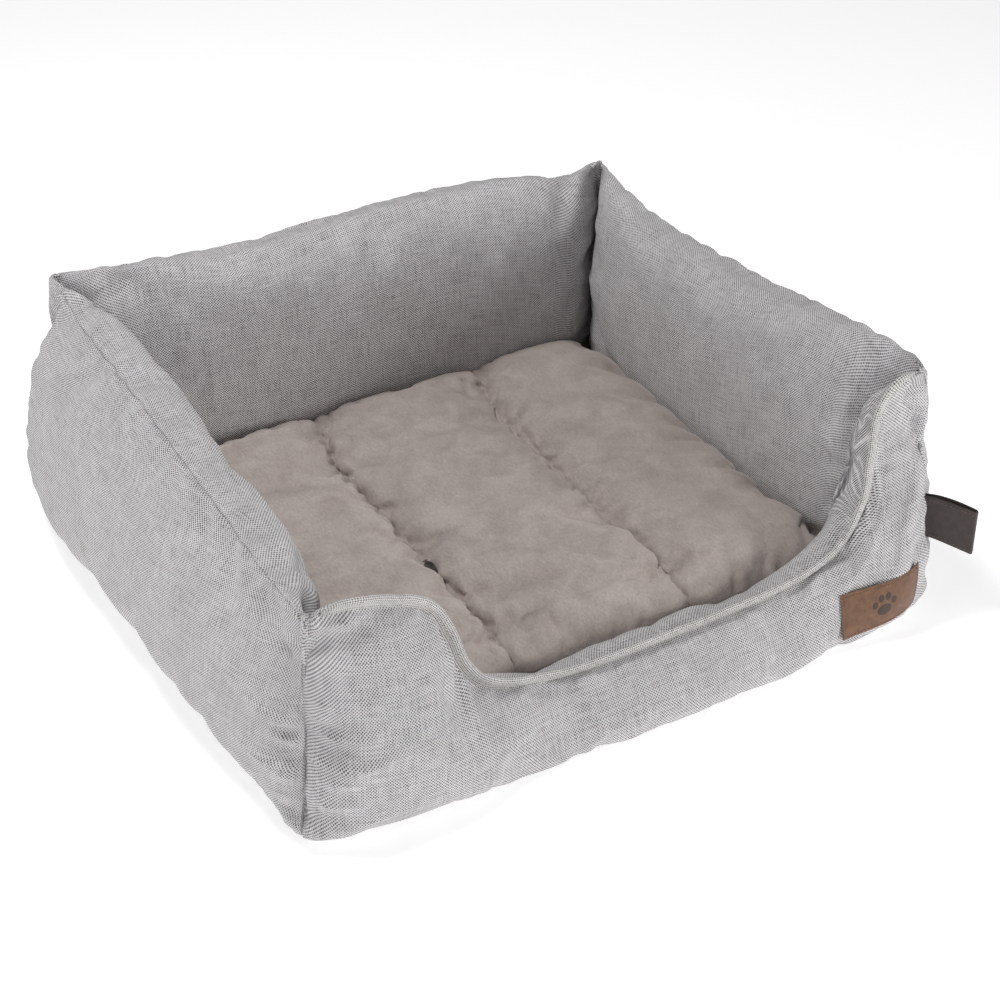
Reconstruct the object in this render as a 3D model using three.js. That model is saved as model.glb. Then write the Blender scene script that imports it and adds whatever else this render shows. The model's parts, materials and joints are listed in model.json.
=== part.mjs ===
// Rectangular bolster bed for a small dog or a cat, in millimetres.
//
// Four stuffed walls stand on a flat base panel and meet at mitred corners.  The front wall dips
// to a low entry between two wings, and a welt of folded cloth runs along its crest.  A loose
// three-channel cushion lies between the walls, and a short strap loop hangs from one corner seam.
//
// +Z is up, +X is the bed's right and the entry faces -Y.  The origin is on the floor under the
// middle of the base.
import * as THREE from 'three';

// ---- driving dimensions ---------------------------------------------------------------------
const BED_WIDTH = 600;
const BED_DEPTH = 530;
const CLOTH = 1.4; // woven wall cloth and plush cover
const GAP = 0.3; // between pieces that touch
const FILL_GAP = 2; // between a cover and the filling that presses on it

// Crest height of the stuffed walls at each corner, as the soft corners stand.
const CORNER_HEIGHT = { frontLeft: 200, frontRight: 236, backRight: 212, backLeft: 240 };
const WALL_FOOT = 42; // wall thickness where it is sewn to the base
const WALL_CREST = 22; // how far in from the base edge the crest seam runs
const CREST_CROWN = 8; // how much a wall rises between its corners
const OUTER_BULGE = 20; // how far a wall swells past the base edge
const INNER_BULGE = 4;
const CORNER_PINCH = 0.8; // share of the bulge that the corner seam takes away

const ENTRY_HEIGHT = 60;
const LEFT_WING = { top: -214, foot: -130 }; // where the entry's left slope starts and ends
const RIGHT_WING = { top: 280, foot: 188 };
const WELT_HEIGHT = 9;
const WELT_THICKNESS = 3;

const BASE_THICKNESS = 1.6;
const WADDING_THICKNESS = 8;

const CUSHION_CENTRE_X = 4;
const CUSHION_HALF_WIDTH = 248;
const CUSHION_HALF_DEPTH = 216;
const CUSHION_THICKNESS = 50;
const CHANNEL_SEAM = 90; // from the cushion's middle to each of its two channel seams
const SEAM_DEPTH = 0.55; // share of the thickness that a channel seam draws down
const SEAM_SPREAD = 20;
const CORNER_EASE = 0.06; // how far the cushion's corners draw in

const LABEL = { left: 210, right: 288, bottom: 12, top: 53, thickness: 1.4, clearance: 1.2 };
const STRAP = { length: 44, width: 42, leather: 1.7, slot: 1.8, droop: 12, height: 92 };

// ---- derived levels -------------------------------------------------------------------------
const WALL_FLOOR = BASE_THICKNESS + GAP;
const LINING_BOTTOM = WALL_FLOOR + WADDING_THICKNESS + GAP;
const CUSHION_BOTTOM = LINING_BOTTOM + CLOTH + GAP;
const COVER_RIM = CUSHION_BOTTOM + CLOTH + GAP;
const TALLEST_WALL = Math.max(...Object.values(CORNER_HEIGHT));

// ---- materials ------------------------------------------------------------------------------
function cloth(name, color, roughness = 0.95) {
  return new THREE.MeshStandardMaterial({ name, color, roughness, metalness: 0 });
}

const wovenCloth = cloth('woven_cloth', 0xb3aea9);
const weltCloth = cloth('welt_cloth', 0xada8a2);
const plushCloth = cloth('plush_cloth', 0xa0938b, 1);
const fibreFill = cloth('fibre_fill', 0xf0efec, 1);
const liningCloth = cloth('lining_cloth', 0xc4c0ba);
const baseCloth = cloth('base_cloth', 0x35333a, 0.9);
const strapLeather = cloth('strap_leather', 0x4a3b39, 0.5);
const labelLeather = cloth('label_leather', 0x6b4a3a, 0.55);

// ---- closed meshes from grids of points -----------------------------------------------------
function closedGeometry(points, quads, triangles = []) {
  const geometry = new THREE.BufferGeometry();
  geometry.setFromPoints(points);
  const halves = quads.flatMap(([a, b, c, d]) => [a, b, c, a, c, d]);
  geometry.setIndex([...halves, ...triangles.flat()]);
  geometry.computeVertexNormals();
  return geometry;
}

// A slab between two grids[i][j] of the same size.  The first grid faces the way i x j points.
function slab(first, second) {
  const columns = first.length;
  const rows = first[0].length;
  const a = (i, j) => i * rows + j;
  const b = (i, j) => columns * rows + i * rows + j;
  const quads = [];
  for (let i = 0; i < columns - 1; i += 1) {
    for (let j = 0; j < rows - 1; j += 1) {
      quads.push([a(i, j), a(i + 1, j), a(i + 1, j + 1), a(i, j + 1)]);
      quads.push([b(i, j), b(i, j + 1), b(i + 1, j + 1), b(i + 1, j)]);
    }
    const last = rows - 1;
    quads.push([a(i + 1, 0), a(i, 0), b(i, 0), b(i + 1, 0)]);
    quads.push([a(i, last), a(i + 1, last), b(i + 1, last), b(i, last)]);
  }
  for (let j = 0; j < rows - 1; j += 1) {
    const last = columns - 1;
    quads.push([a(0, j), a(0, j + 1), b(0, j + 1), b(0, j)]);
    quads.push([a(last, j + 1), a(last, j), b(last, j), b(last, j + 1)]);
  }
  return closedGeometry([...first.flat(), ...second.flat()], quads);
}

// A bar through rings[i][j], each ring a flat loop, closed by a fan of triangles at both ends.
function bar(rings) {
  const around = rings[0].length;
  const last = rings.length - 1;
  const at = (i, j) => i * around + (j % around);
  const quads = [];
  for (let i = 0; i < last; i += 1) {
    for (let j = 0; j < around; j += 1) {
      quads.push([at(i, j), at(i + 1, j), at(i + 1, j + 1), at(i, j + 1)]);
    }
  }
  const middle = (ring) => ring.reduce((sum, p) => sum.add(p), new THREE.Vector3()).divideScalar(around);
  const points = [...rings.flat(), middle(rings[0]), middle(rings[last])];
  const startFan = points.length - 2;
  const endFan = points.length - 1;
  const caps = [];
  for (let j = 0; j < around; j += 1) {
    caps.push([startFan, at(0, j), at(0, j + 1)]);
    caps.push([endFan, at(last, j + 1), at(last, j)]);
  }
  return closedGeometry(points, quads, caps);
}

function piece(name, geometry, material) {
  const mesh = new THREE.Mesh(geometry, material);
  mesh.name = name;
  return mesh;
}

// ---- the walls ------------------------------------------------------------------------------
// A wall is drawn in its own frame: x runs along it, y points into the bed from the base edge and
// z is up.  `turn` is its quarter turn in the bed, and `start` and `end` are its corner heights.
const WALLS = {
  front: { length: BED_WIDTH, turn: 0, start: CORNER_HEIGHT.frontLeft, end: CORNER_HEIGHT.frontRight },
  right: { length: BED_DEPTH, turn: 1, start: CORNER_HEIGHT.frontRight, end: CORNER_HEIGHT.backRight },
  back: { length: BED_WIDTH, turn: 2, start: CORNER_HEIGHT.backRight, end: CORNER_HEIGHT.backLeft },
  left: { length: BED_DEPTH, turn: 3, start: CORNER_HEIGHT.backLeft, end: CORNER_HEIGHT.frontLeft },
};
const SECTION_STEPS = 7;
const MITRE_RUN = 50; // length of wall over which the ends slant into the mitre

function frontCrest(x) {
  const leftRise = 1 - THREE.MathUtils.smoothstep(x, LEFT_WING.top, LEFT_WING.foot);
  const rightRise = THREE.MathUtils.smoothstep(x, RIGHT_WING.foot, RIGHT_WING.top);
  return ENTRY_HEIGHT
    + (CORNER_HEIGHT.frontLeft - ENTRY_HEIGHT) * leftRise
    + (CORNER_HEIGHT.frontRight - ENTRY_HEIGHT) * rightRise;
}

function crestHeight(wall, x) {
  if (wall === WALLS.front) {
    return frontCrest(x);
  }
  const share = x / wall.length + 0.5;
  return THREE.MathUtils.lerp(wall.start, wall.end, share) + CREST_CROWN * Math.sin(Math.PI * share);
}

// The two halves of a wall's cross-section at x, each a curve of (y, z) from foot to crest.
function wallSection(wall, x) {
  const toCorner = Math.abs(x) / (wall.length / 2);
  const rise = crestHeight(wall, x) - WALL_FLOOR;
  const fullness = (1 - CORNER_PINCH * toCorner ** 6) * Math.sqrt(rise / TALLEST_WALL);
  const half = (foot, swell, crest) => new THREE.CubicBezierCurve(
    new THREE.Vector2(foot, WALL_FLOOR),
    new THREE.Vector2(foot + swell, WALL_FLOOR + rise * 0.3),
    new THREE.Vector2(foot + swell, WALL_FLOOR + rise),
    new THREE.Vector2(crest, WALL_FLOOR + rise),
  );
  return {
    outer: half(0, -1.4 * OUTER_BULGE * fullness, WALL_CREST - GAP / 2),
    inner: half(WALL_FOOT, 1.4 * INNER_BULGE * fullness, WALL_CREST + GAP / 2),
  };
}

// A point of a wall half, sunk by `inset` from the cloth's face into the wall.
function sectionPoint(section, side, share, inset) {
  const point = section[side].getPoint(share);
  const along = section[side].getTangent(share);
  const sunk = side === 'outer' ? inset : -inset;
  return new THREE.Vector2(point.x + along.y * sunk, point.y - along.x * sunk);
}

// Places a section point in the wall, slanting the wall's end into the 45 degree mitre.
function inWall(wall, x, point) {
  const end = wall.length / 2;
  const mitre = THREE.MathUtils.clamp((Math.abs(x) - end + MITRE_RUN) / MITRE_RUN, 0, 1);
  return new THREE.Vector3(x - Math.sign(x) * mitre * (point.x + GAP), point.x, point.y);
}

function evenly(from, to, steps) {
  return Array.from({ length: steps + 1 }, (_, i) => THREE.MathUtils.lerp(from, to, i / steps));
}

// Where a wall is sectioned along its length: closely in the mitres and on the entry's slopes.
function wallStations(wall) {
  const end = wall.length / 2;
  if (wall === WALLS.front) {
    return [
      ...evenly(-end, LEFT_WING.top, 4).slice(0, -1),
      ...evenly(LEFT_WING.top, LEFT_WING.foot, 7),
      ...evenly(LEFT_WING.foot, RIGHT_WING.foot, 5).slice(1, -1),
      ...evenly(RIGHT_WING.foot, RIGHT_WING.top, 7),
      (RIGHT_WING.top + end) / 2,
      end,
    ];
  }
  return [
    ...evenly(-end, -end + MITRE_RUN, 2),
    ...evenly(-end + MITRE_RUN, end - MITRE_RUN, 6).slice(1, -1),
    ...evenly(end - MITRE_RUN, end, 2),
  ];
}

function wallLayer(wall, side, inset) {
  const shares = evenly(0, 1, SECTION_STEPS);
  return wallStations(wall).map((x) => {
    const section = wallSection(wall, x);
    return shares.map((share) => inWall(wall, x, sectionPoint(section, side, share, inset)));
  });
}

function outerPanel(wall) {
  return slab(wallLayer(wall, 'outer', 0), wallLayer(wall, 'outer', CLOTH));
}

function innerPanel(wall) {
  return slab(wallLayer(wall, 'inner', CLOTH), wallLayer(wall, 'inner', 0));
}

function wallFill(wall) {
  const inset = CLOTH + FILL_GAP;
  const outer = wallLayer(wall, 'outer', inset);
  const inner = wallLayer(wall, 'inner', inset);
  return bar(outer.map((column, i) => [...column, ...inner[i].slice(0, -1).reverse()]));
}

function buildWall(name, wall) {
  const group = new THREE.Group();
  group.add(
    piece(`${name}_outer_panel`, outerPanel(wall), wovenCloth),
    piece(`${name}_inner_panel`, innerPanel(wall), wovenCloth),
    piece(`${name}_fill`, wallFill(wall), fibreFill),
  );
  const sideways = wall.turn % 2 === 1;
  const reach = (sideways ? BED_WIDTH : BED_DEPTH) / 2;
  group.rotation.z = (wall.turn * Math.PI) / 2;
  group.position.set(reach * Math.sin(group.rotation.z), -reach * Math.cos(group.rotation.z), 0);
  return group;
}

// The welt stands square to the front wall's crest and follows it from corner to corner.
function frontWelt() {
  const wall = WALLS.front;
  const crest = wallStations(wall).map((x) => {
    const top = new THREE.Vector2(WALL_CREST, crestHeight(wall, x));
    return inWall(wall, x, top);
  });
  const rings = crest.map((here, i) => {
    const before = crest[Math.max(i - 1, 0)];
    const after = crest[Math.min(i + 1, crest.length - 1)];
    const along = after.clone().sub(before).setY(0).normalize();
    const up = new THREE.Vector3(-along.z, 0, along.x);
    const corner = (across, rise) => here.clone()
      .addScaledVector(up, rise)
      .add(new THREE.Vector3(0, across * WELT_THICKNESS / 2, 0));
    return [corner(-1, 2 * GAP), corner(-1, WELT_HEIGHT), corner(1, WELT_HEIGHT), corner(1, 2 * GAP)];
  });
  const mesh = piece('front_welt', bar(rings), weltCloth);
  mesh.position.y = -BED_DEPTH / 2;
  return mesh;
}

// ---- the floor of the bed -------------------------------------------------------------------
function flatSheet(name, width, depth, thickness, bottom, material) {
  const mesh = piece(name, new THREE.BoxGeometry(width, depth, thickness), material);
  mesh.position.z = bottom + thickness / 2;
  return mesh;
}

function buildFloor() {
  const group = new THREE.Group();
  const innerWidth = BED_WIDTH - 2 * (WALL_FOOT + INNER_BULGE);
  const innerDepth = BED_DEPTH - 2 * (WALL_FOOT + INNER_BULGE);
  group.add(
    flatSheet('base_panel', BED_WIDTH, BED_DEPTH, BASE_THICKNESS, 0, baseCloth),
    flatSheet('base_wadding', innerWidth, innerDepth, WADDING_THICKNESS, WALL_FLOOR, fibreFill),
    flatSheet('floor_lining', innerWidth, innerDepth, CLOTH, LINING_BOTTOM, liningCloth),
  );
  return group;
}

// ---- the cushion ----------------------------------------------------------------------------
const CHANNEL_COLUMNS = 6;
const CUSHION_ROWS = 12;

// Height of the cushion's top over its rim at (u, w), each from -1 to 1 across the cushion.
function cushionRise(u, w) {
  const edge = (share) => (1 - Math.abs(share) ** 4) ** 0.5;
  const x = u * CUSHION_HALF_WIDTH;
  const dip = (seam) => Math.exp(-(((x - seam) / SEAM_SPREAD) ** 2));
  const seams = dip(-CHANNEL_SEAM) + dip(CHANNEL_SEAM);
  return CUSHION_THICKNESS * edge(u) * edge(w) * (1 - SEAM_DEPTH * seams);
}

// The cushion's plan is a rectangle with softly rounded corners.
function cushionPoint(u, w, inset, z) {
  const ease = (share) => Math.sqrt(1 - CORNER_EASE * share ** 2);
  return new THREE.Vector3(
    (CUSHION_HALF_WIDTH - inset) * u * ease(w),
    (CUSHION_HALF_DEPTH - inset) * w * ease(u),
    z,
  );
}

// Stations from -1 to 1 that crowd towards both ends, where the cushion rounds over.
function crowded(steps) {
  return evenly(-1, 1, steps).map((share) => Math.sin((share * Math.PI) / 2));
}

// The cushion's upper surface over columns of u and rows of w, sunk by `drop`.
function cushionTop(columns, rows, inset, drop) {
  return columns.map((u) => rows.map((w) => {
    const rise = Math.max(cushionRise(u, w) - drop, 0);
    return cushionPoint(u, w, inset, COVER_RIM + rise);
  }));
}

function flattened(grid, z) {
  return grid.map((column) => column.map((point) => point.clone().setZ(z)));
}

// Columns of u over one channel, crowding towards the cushion's own edge.
function channelColumns(channel) {
  const seam = CHANNEL_SEAM / CUSHION_HALF_WIDTH;
  if (channel === 'middle') {
    return evenly(-seam, seam, CHANNEL_COLUMNS);
  }
  const outward = evenly(0, 1, CHANNEL_COLUMNS).map((share) => (
    seam + (1 - seam) * Math.sin((share * Math.PI) / 2)
  ));
  return channel === 'right' ? outward : outward.map((u) => -u).reverse();
}

function topCover() {
  const columns = [
    ...channelColumns('left'),
    ...channelColumns('middle').slice(1, -1),
    ...channelColumns('right'),
  ];
  const rows = crowded(CUSHION_ROWS);
  return slab(cushionTop(columns, rows, 0, 0), cushionTop(columns, rows, CLOTH, CLOTH));
}

// A channel's filling stops one row short of the cover's rim and a little short of its seams.
function channelFill(channel) {
  const slack = FILL_GAP / CUSHION_HALF_WIDTH;
  const columns = channelColumns(channel).filter((u) => Math.abs(u) < 1);
  if (channel !== 'left') {
    columns[0] += slack;
  }
  if (channel !== 'right') {
    columns[columns.length - 1] -= slack;
  }
  const rows = crowded(CUSHION_ROWS).slice(1, -1);
  const top = cushionTop(columns, rows, CLOTH, CLOTH + FILL_GAP);
  return slab(top, flattened(top, COVER_RIM + GAP));
}

function bottomCover() {
  const plan = evenly(-1, 1, 8);
  const rim = cushionTop(plan, plan, 0, 0);
  return slab(flattened(rim, CUSHION_BOTTOM + CLOTH), flattened(rim, CUSHION_BOTTOM));
}

function buildCushion() {
  const group = new THREE.Group();
  group.add(
    piece('cushion_top_cover', topCover(), plushCloth),
    piece('cushion_bottom_cover', bottomCover(), liningCloth),
  );
  for (const channel of ['left', 'middle', 'right']) {
    group.add(piece(`cushion_fill_${channel}`, channelFill(channel), fibreFill));
  }
  group.position.x = CUSHION_CENTRE_X;
  return group;
}

// ---- strap loop and label -------------------------------------------------------------------
// One strap folded back on itself, its two ends sewn into the front right corner seam.  It points
// out from the corner and droops towards its fold.
function strapLoop() {
  const outer = STRAP.leather + STRAP.slot / 2;
  const inner = STRAP.slot / 2;
  const bend = STRAP.length - outer;
  const outline = new THREE.Shape();
  outline.moveTo(0, -outer);
  outline.lineTo(bend, -outer);
  outline.absarc(bend, 0, outer, -Math.PI / 2, Math.PI / 2, false);
  outline.lineTo(0, outer);
  outline.lineTo(0, inner);
  outline.lineTo(bend, inner);
  outline.absarc(bend, 0, inner, Math.PI / 2, -Math.PI / 2, true);
  outline.lineTo(0, -inner);
  outline.closePath();
  const geometry = new THREE.ExtrudeGeometry(outline, {
    depth: STRAP.width, bevelEnabled: false, curveSegments: 8,
  });
  const droop = new THREE.Matrix4().makeShear(0, -STRAP.droop / STRAP.length, 0, 0, 0, 0);
  geometry.applyMatrix4(droop);

  const corner = inWall(WALLS.front, BED_WIDTH / 2, cornerEdge());
  const mesh = piece('handle_loop', geometry, strapLeather);
  mesh.rotation.z = -Math.PI / 4;
  mesh.position.set(
    corner.x + 2 * GAP,
    corner.y - BED_DEPTH / 2 - 2 * GAP,
    STRAP.height - STRAP.width / 2,
  );
  return mesh;
}

// The widest point of the front right corner seam.
function cornerEdge() {
  const section = wallSection(WALLS.front, BED_WIDTH / 2);
  const shares = evenly(0, 1, SECTION_STEPS);
  const points = shares.map((share) => sectionPoint(section, 'outer', share, 0));
  return points.reduce((widest, point) => (point.x < widest.x ? point : widest));
}

// How far in from the base edge the front wall's face lies at (x, z).
function frontFace(x, z) {
  const { outer } = wallSection(WALLS.front, x);
  let low = 0;
  let high = 1;
  for (let pass = 0; pass < 20; pass += 1) {
    const share = (low + high) / 2;
    if (outer.getPoint(share).y < z) {
      low = share;
    } else {
      high = share;
    }
  }
  return outer.getPoint(low).x;
}

function leatherLabel() {
  const layer = (lift) => evenly(LABEL.left, LABEL.right, 5).map((x) => (
    evenly(LABEL.bottom, LABEL.top, 5).map((z) => new THREE.Vector3(x, frontFace(x, z) - lift, z))
  ));
  const patch = slab(layer(LABEL.clearance + LABEL.thickness), layer(LABEL.clearance));
  const mesh = piece('leather_label', patch, labelLeather);
  mesh.position.y = -BED_DEPTH / 2;
  return mesh;
}

// ---- assembly -------------------------------------------------------------------------------
const bed = new THREE.Group();
for (const [name, wall] of Object.entries(WALLS)) {
  bed.add(buildWall(name, wall));
}
bed.add(frontWelt(), buildFloor(), buildCushion(), strapLoop(), leatherLabel());

export default bed;
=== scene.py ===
# %% [markdown]
# # A bolster bed for a small dog or a cat
#
# Four stuffed walls of coarse grey cloth stand on a flat base and lean together at the corners.
# The front wall dips to a low entry with a folded welt along its edge, a loose plush cushion with
# three sewn channels lies inside, and a strap loop and a leather label are sewn to the front right.
#
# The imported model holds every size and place.  It is loaded first and never moved, and each piece
# below is made round it.  Lengths are in metres.
import json
import math

import bmesh
import bpy
import numpy as np
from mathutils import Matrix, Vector, noise
from mathutils.bvhtree import BVHTree


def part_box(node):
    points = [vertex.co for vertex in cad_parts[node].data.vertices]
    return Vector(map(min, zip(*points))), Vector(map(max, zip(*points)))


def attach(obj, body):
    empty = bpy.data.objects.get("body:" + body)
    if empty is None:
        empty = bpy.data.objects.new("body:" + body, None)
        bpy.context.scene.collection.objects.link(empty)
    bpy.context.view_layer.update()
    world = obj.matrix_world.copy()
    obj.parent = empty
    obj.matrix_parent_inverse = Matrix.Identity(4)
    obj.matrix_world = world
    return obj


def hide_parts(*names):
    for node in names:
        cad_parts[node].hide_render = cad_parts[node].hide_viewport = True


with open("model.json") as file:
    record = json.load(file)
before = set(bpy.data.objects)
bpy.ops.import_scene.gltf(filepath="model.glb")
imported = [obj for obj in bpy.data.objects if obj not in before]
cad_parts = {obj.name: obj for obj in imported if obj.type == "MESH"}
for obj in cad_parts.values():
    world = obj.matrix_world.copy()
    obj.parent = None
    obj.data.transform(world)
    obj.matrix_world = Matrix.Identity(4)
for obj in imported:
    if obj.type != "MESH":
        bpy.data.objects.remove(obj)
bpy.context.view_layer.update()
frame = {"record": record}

MM = 0.001

# %% [markdown]
# ## Camera
#
# A bed is shown best from about shoulder height through a short telephoto lens, far enough back that
# the near corner does not look swollen.  The camera is placed by its position and two angles,
# because those are what is set on a tripod.

# %% Camera
CAMERA_PLACE = (-0.806, -1.433, 1.194)
CAMERA_TURN = 30.1  # degrees from +Y towards +X
CAMERA_DIP = 34.76  # degrees below the horizon
CAMERA_LENS = 79.2  # millimetres on a 36 mm sensor


def add_camera():
    data = bpy.data.cameras.new("studio_camera")
    data.sensor_width = 36
    data.lens = CAMERA_LENS
    camera = bpy.data.objects.new("studio_camera", data)
    camera.location = CAMERA_PLACE
    camera.rotation_euler = (math.radians(90 - CAMERA_DIP), 0, math.radians(-CAMERA_TURN))
    bpy.context.scene.collection.objects.link(camera)
    bpy.context.scene.camera = camera


add_camera()
print("camera at", CAMERA_PLACE, "lens", CAMERA_LENS, "mm")

# %% [markdown]
# ## Meshes from grids of points
#
# Cloth is woven flat and cut flat, so each cloth piece starts as a regular grid: `i` runs along the
# piece and `j` runs up it.  A grid keeps its rows through a cloth simulation, and its UVs can be
# real lengths in metres, which lets one weave fit every panel at its true thread spacing.

# %% Grid and mesh helpers
def grid_faces(columns, rows):
    i, j = np.meshgrid(np.arange(columns - 1), np.arange(rows - 1), indexing="ij")
    corner = (i * rows + j).ravel()
    return np.stack([corner, corner + rows, corner + rows + 1, corner + 1], axis=1)


def new_object(name, points, faces, uv=None):
    """An object from points and faces, with an optional UV per point in metres."""
    mesh = bpy.data.meshes.new(name)
    mesh.from_pydata(np.asarray(points, float).reshape(-1, 3).tolist(), [], [list(face) for face in faces])
    if uv is not None:
        layer = mesh.uv_layers.new(name="cloth")
        corners = np.zeros(len(mesh.loops), np.int32)
        mesh.loops.foreach_get("vertex_index", corners)
        layer.data.foreach_set("uv", np.asarray(uv, np.float32).reshape(-1, 2)[corners].ravel())
    mesh.polygons.foreach_set("use_smooth", np.ones(len(mesh.polygons), bool))
    mesh.update()
    piece = bpy.data.objects.new(name, mesh)
    bpy.context.scene.collection.objects.link(piece)
    return piece


def grid_object(name, points, uv):
    columns, rows = points.shape[:2]
    return new_object(name, points, grid_faces(columns, rows), uv)


def points_of(piece):
    """The piece's points with its modifiers applied."""
    seen = piece.evaluated_get(bpy.context.evaluated_depsgraph_get())
    mesh = seen.to_mesh()
    found = np.zeros(len(mesh.vertices) * 3, np.float64)
    mesh.vertices.foreach_get("co", found)
    seen.to_mesh_clear()
    return found.reshape(-1, 3)


# %% Thickness, finish and place
def bake_modifiers(piece):
    """Makes what the modifiers show the piece's own mesh."""
    seen = piece.evaluated_get(bpy.context.evaluated_depsgraph_get())
    mesh = bpy.data.meshes.new_from_object(seen)
    piece.modifiers.clear()
    old = piece.data
    piece.data = mesh
    bpy.data.meshes.remove(old)
    mesh.name = piece.name


def as_cloth(piece, thickness, levels=1):
    """Smooths a grid and gives it the cloth's thickness on its back."""
    if levels:
        smooth = piece.modifiers.new("smooth", "SUBSURF")
        smooth.levels = levels
        smooth.render_levels = levels
        smooth.boundary_smooth = "PRESERVE_CORNERS"
    thick = piece.modifiers.new("thickness", "SOLIDIFY")
    thick.thickness = thickness
    thick.offset = -1
    bake_modifiers(piece)


def as_leather(piece, thickness, offset, round_edge):
    """Gives a grid a sheet of leather's thickness and its slightly rounded cut edges."""
    thick = piece.modifiers.new("thickness", "SOLIDIFY")
    thick.thickness = thickness
    thick.offset = offset
    edge = piece.modifiers.new("edge", "BEVEL")
    edge.width = round_edge
    edge.segments = 2
    edge.limit_method = "ANGLE"
    bake_modifiers(piece)


def settle(piece, body, node=None):
    """Says which body carries a piece and which of the model's solids it is."""
    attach(piece, body)
    if node:
        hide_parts(node)


# %% Shape helpers
def grid_normals(points):
    """Unit normals of a grid, pointing the way i x j points."""
    along = np.gradient(points, axis=0)
    up = np.gradient(points, axis=1)
    normal = np.cross(along, up)
    return normal / np.maximum(np.linalg.norm(normal, axis=2, keepdims=True), 1e-12)


def smoothstep(value, low, high):
    share = np.clip((np.asarray(value, float) - low) / (high - low), 0, 1)
    return share * share * (3 - 2 * share)


def run_along(line):
    """The length run along a line to each of its points."""
    return np.concatenate([[0], np.cumsum(np.linalg.norm(np.diff(line, axis=0), axis=1))])


def lumps(points, size, seed):
    """Smooth noise from -1 to 1 at each point, with lumps of about `size`."""
    flat = points.reshape(-1, 3) / size
    values = [noise.noise(Vector((p[0] + seed * 17.3, p[1] - seed * 9.1, p[2] + seed * 5.7))) for p in flat]
    return np.array(values).reshape(points.shape[:-1])


# %% [markdown]
# ## Cloth that is stuffed
#
# Each stuffed piece is blown up a little by Blender's cloth simulation: pressure stands in for the
# fibre, the sewn edges are held, and the cloth is let grow by a few per cent, so it puckers along
# the seams that hold it short.  That gives the wrinkles a hand would find hard to model.  How far
# any point may move is capped, so the piece keeps the size that the model gives it.

# %% Cloth simulation
PUFF_FRAMES = 20
PUFF_PRESSURE = 4.0
CLOTH_BENDING = 0.6


def puff(piece, held, growth, cap=12 * MM):
    """Returns the piece's points after puffing.  `held` is a hold from 0 to 1 for each point."""
    start = np.array([v.co for v in piece.data.vertices])
    group = piece.vertex_groups.new(name="held")
    for index, hold in enumerate(held.ravel()):
        if hold > 0:
            group.add([index], float(hold), "REPLACE")
    cloth = piece.modifiers.new("cloth", "CLOTH")
    settings = cloth.settings
    settings.quality = 5
    settings.mass = 0.3
    settings.tension_stiffness = 15
    settings.compression_stiffness = 15
    settings.shear_stiffness = 5
    settings.bending_stiffness = CLOTH_BENDING
    settings.air_damping = 2
    settings.use_pressure = True
    settings.uniform_pressure_force = PUFF_PRESSURE
    settings.vertex_group_mass = "held"
    settings.pin_stiffness = 1
    settings.shrink_min = -growth
    settings.effector_weights.gravity = 0
    cloth.collision_settings.use_collision = False
    cloth.point_cache.frame_start = 1
    cloth.point_cache.frame_end = PUFF_FRAMES
    scene = bpy.context.scene
    for step in range(1, PUFF_FRAMES + 1):
        scene.frame_set(step)
    moved = points_of(piece)
    piece.modifiers.clear()
    scene.frame_set(1)
    shift = moved - start
    reach = np.linalg.norm(shift, axis=1, keepdims=True)
    capped = cap * np.tanh(reach / cap)
    print(piece.name, "moved up to", round(float(capped.max()) / MM, 1), "mm")
    return start + shift * capped / np.maximum(reach, 1e-9)


# %% [markdown]
# ## The walls
#
# On the real bed a wall is one outer and one inner panel of the same cloth, sewn together along the
# crest, sewn to the base at both feet and to the next wall along each corner, and stuffed.  The
# section is a flattened pillow, so it is drawn as two curves from foot to crest, and swept along the
# wall.  Towards a corner the pillow is pinched flat by the corner seam, and its crest rises in a
# small ear.  The two walls at a corner end in the same section on the corner's slanting plane, so
# they meet exactly.

# %% Wall sizes
base_low, base_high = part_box("base_panel")
BED_WIDTH = base_high.x - base_low.x
BED_DEPTH = base_high.y - base_low.y
WALL_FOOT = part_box("base_wadding")[0].x - base_low.x - 4 * MM
CLOTH_THICKNESS = 1.4 * MM

# Each wall's crest, as (along the wall, height) in millimetres, from left to right as seen from
# outside the bed.
CRESTS = {
    "front": [
        (-300, 199), (-250, 191), (-206, 179), (-183, 164), (-171, 136), (-158, 102), (-138, 77),
        (-105, 62), (-30, 52), (70, 54), (150, 58), (198, 68), (227, 90), (243, 124), (249, 162),
        (255, 200), (268, 225), (286, 236), (300, 236),
    ],
    "right": [(-265, 236), (-248, 246), (-200, 251), (-120, 244), (-20, 226), (120, 213), (265, 216)],
    "back": [
        (-300, 216), (-250, 219), (-165, 238), (-60, 247), (100, 241), (200, 248), (265, 249),
        (300, 243),
    ],
    "left": [(-265, 243), (-200, 240), (-80, 236), (60, 226), (190, 211), (265, 199)],
}
TURNS = {"front": 0, "right": 1, "back": 2, "left": 3}  # quarter turns from the front wall


def wall_length(name):
    return BED_WIDTH if name in ("front", "back") else BED_DEPTH


print("base", round(BED_WIDTH, 3), "by", round(BED_DEPTH, 3), "wall foot", round(WALL_FOOT, 3))


# %% [markdown]
# Two lines run along a wall: the seam that joins its panels, on the outer shoulder, and the top of
# the stuffing further in, which the inner panel rolls over.  Each wall has its own fullness, because
# fibre settles unevenly.  At a shared corner both walls take the same section, so they always meet.

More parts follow.
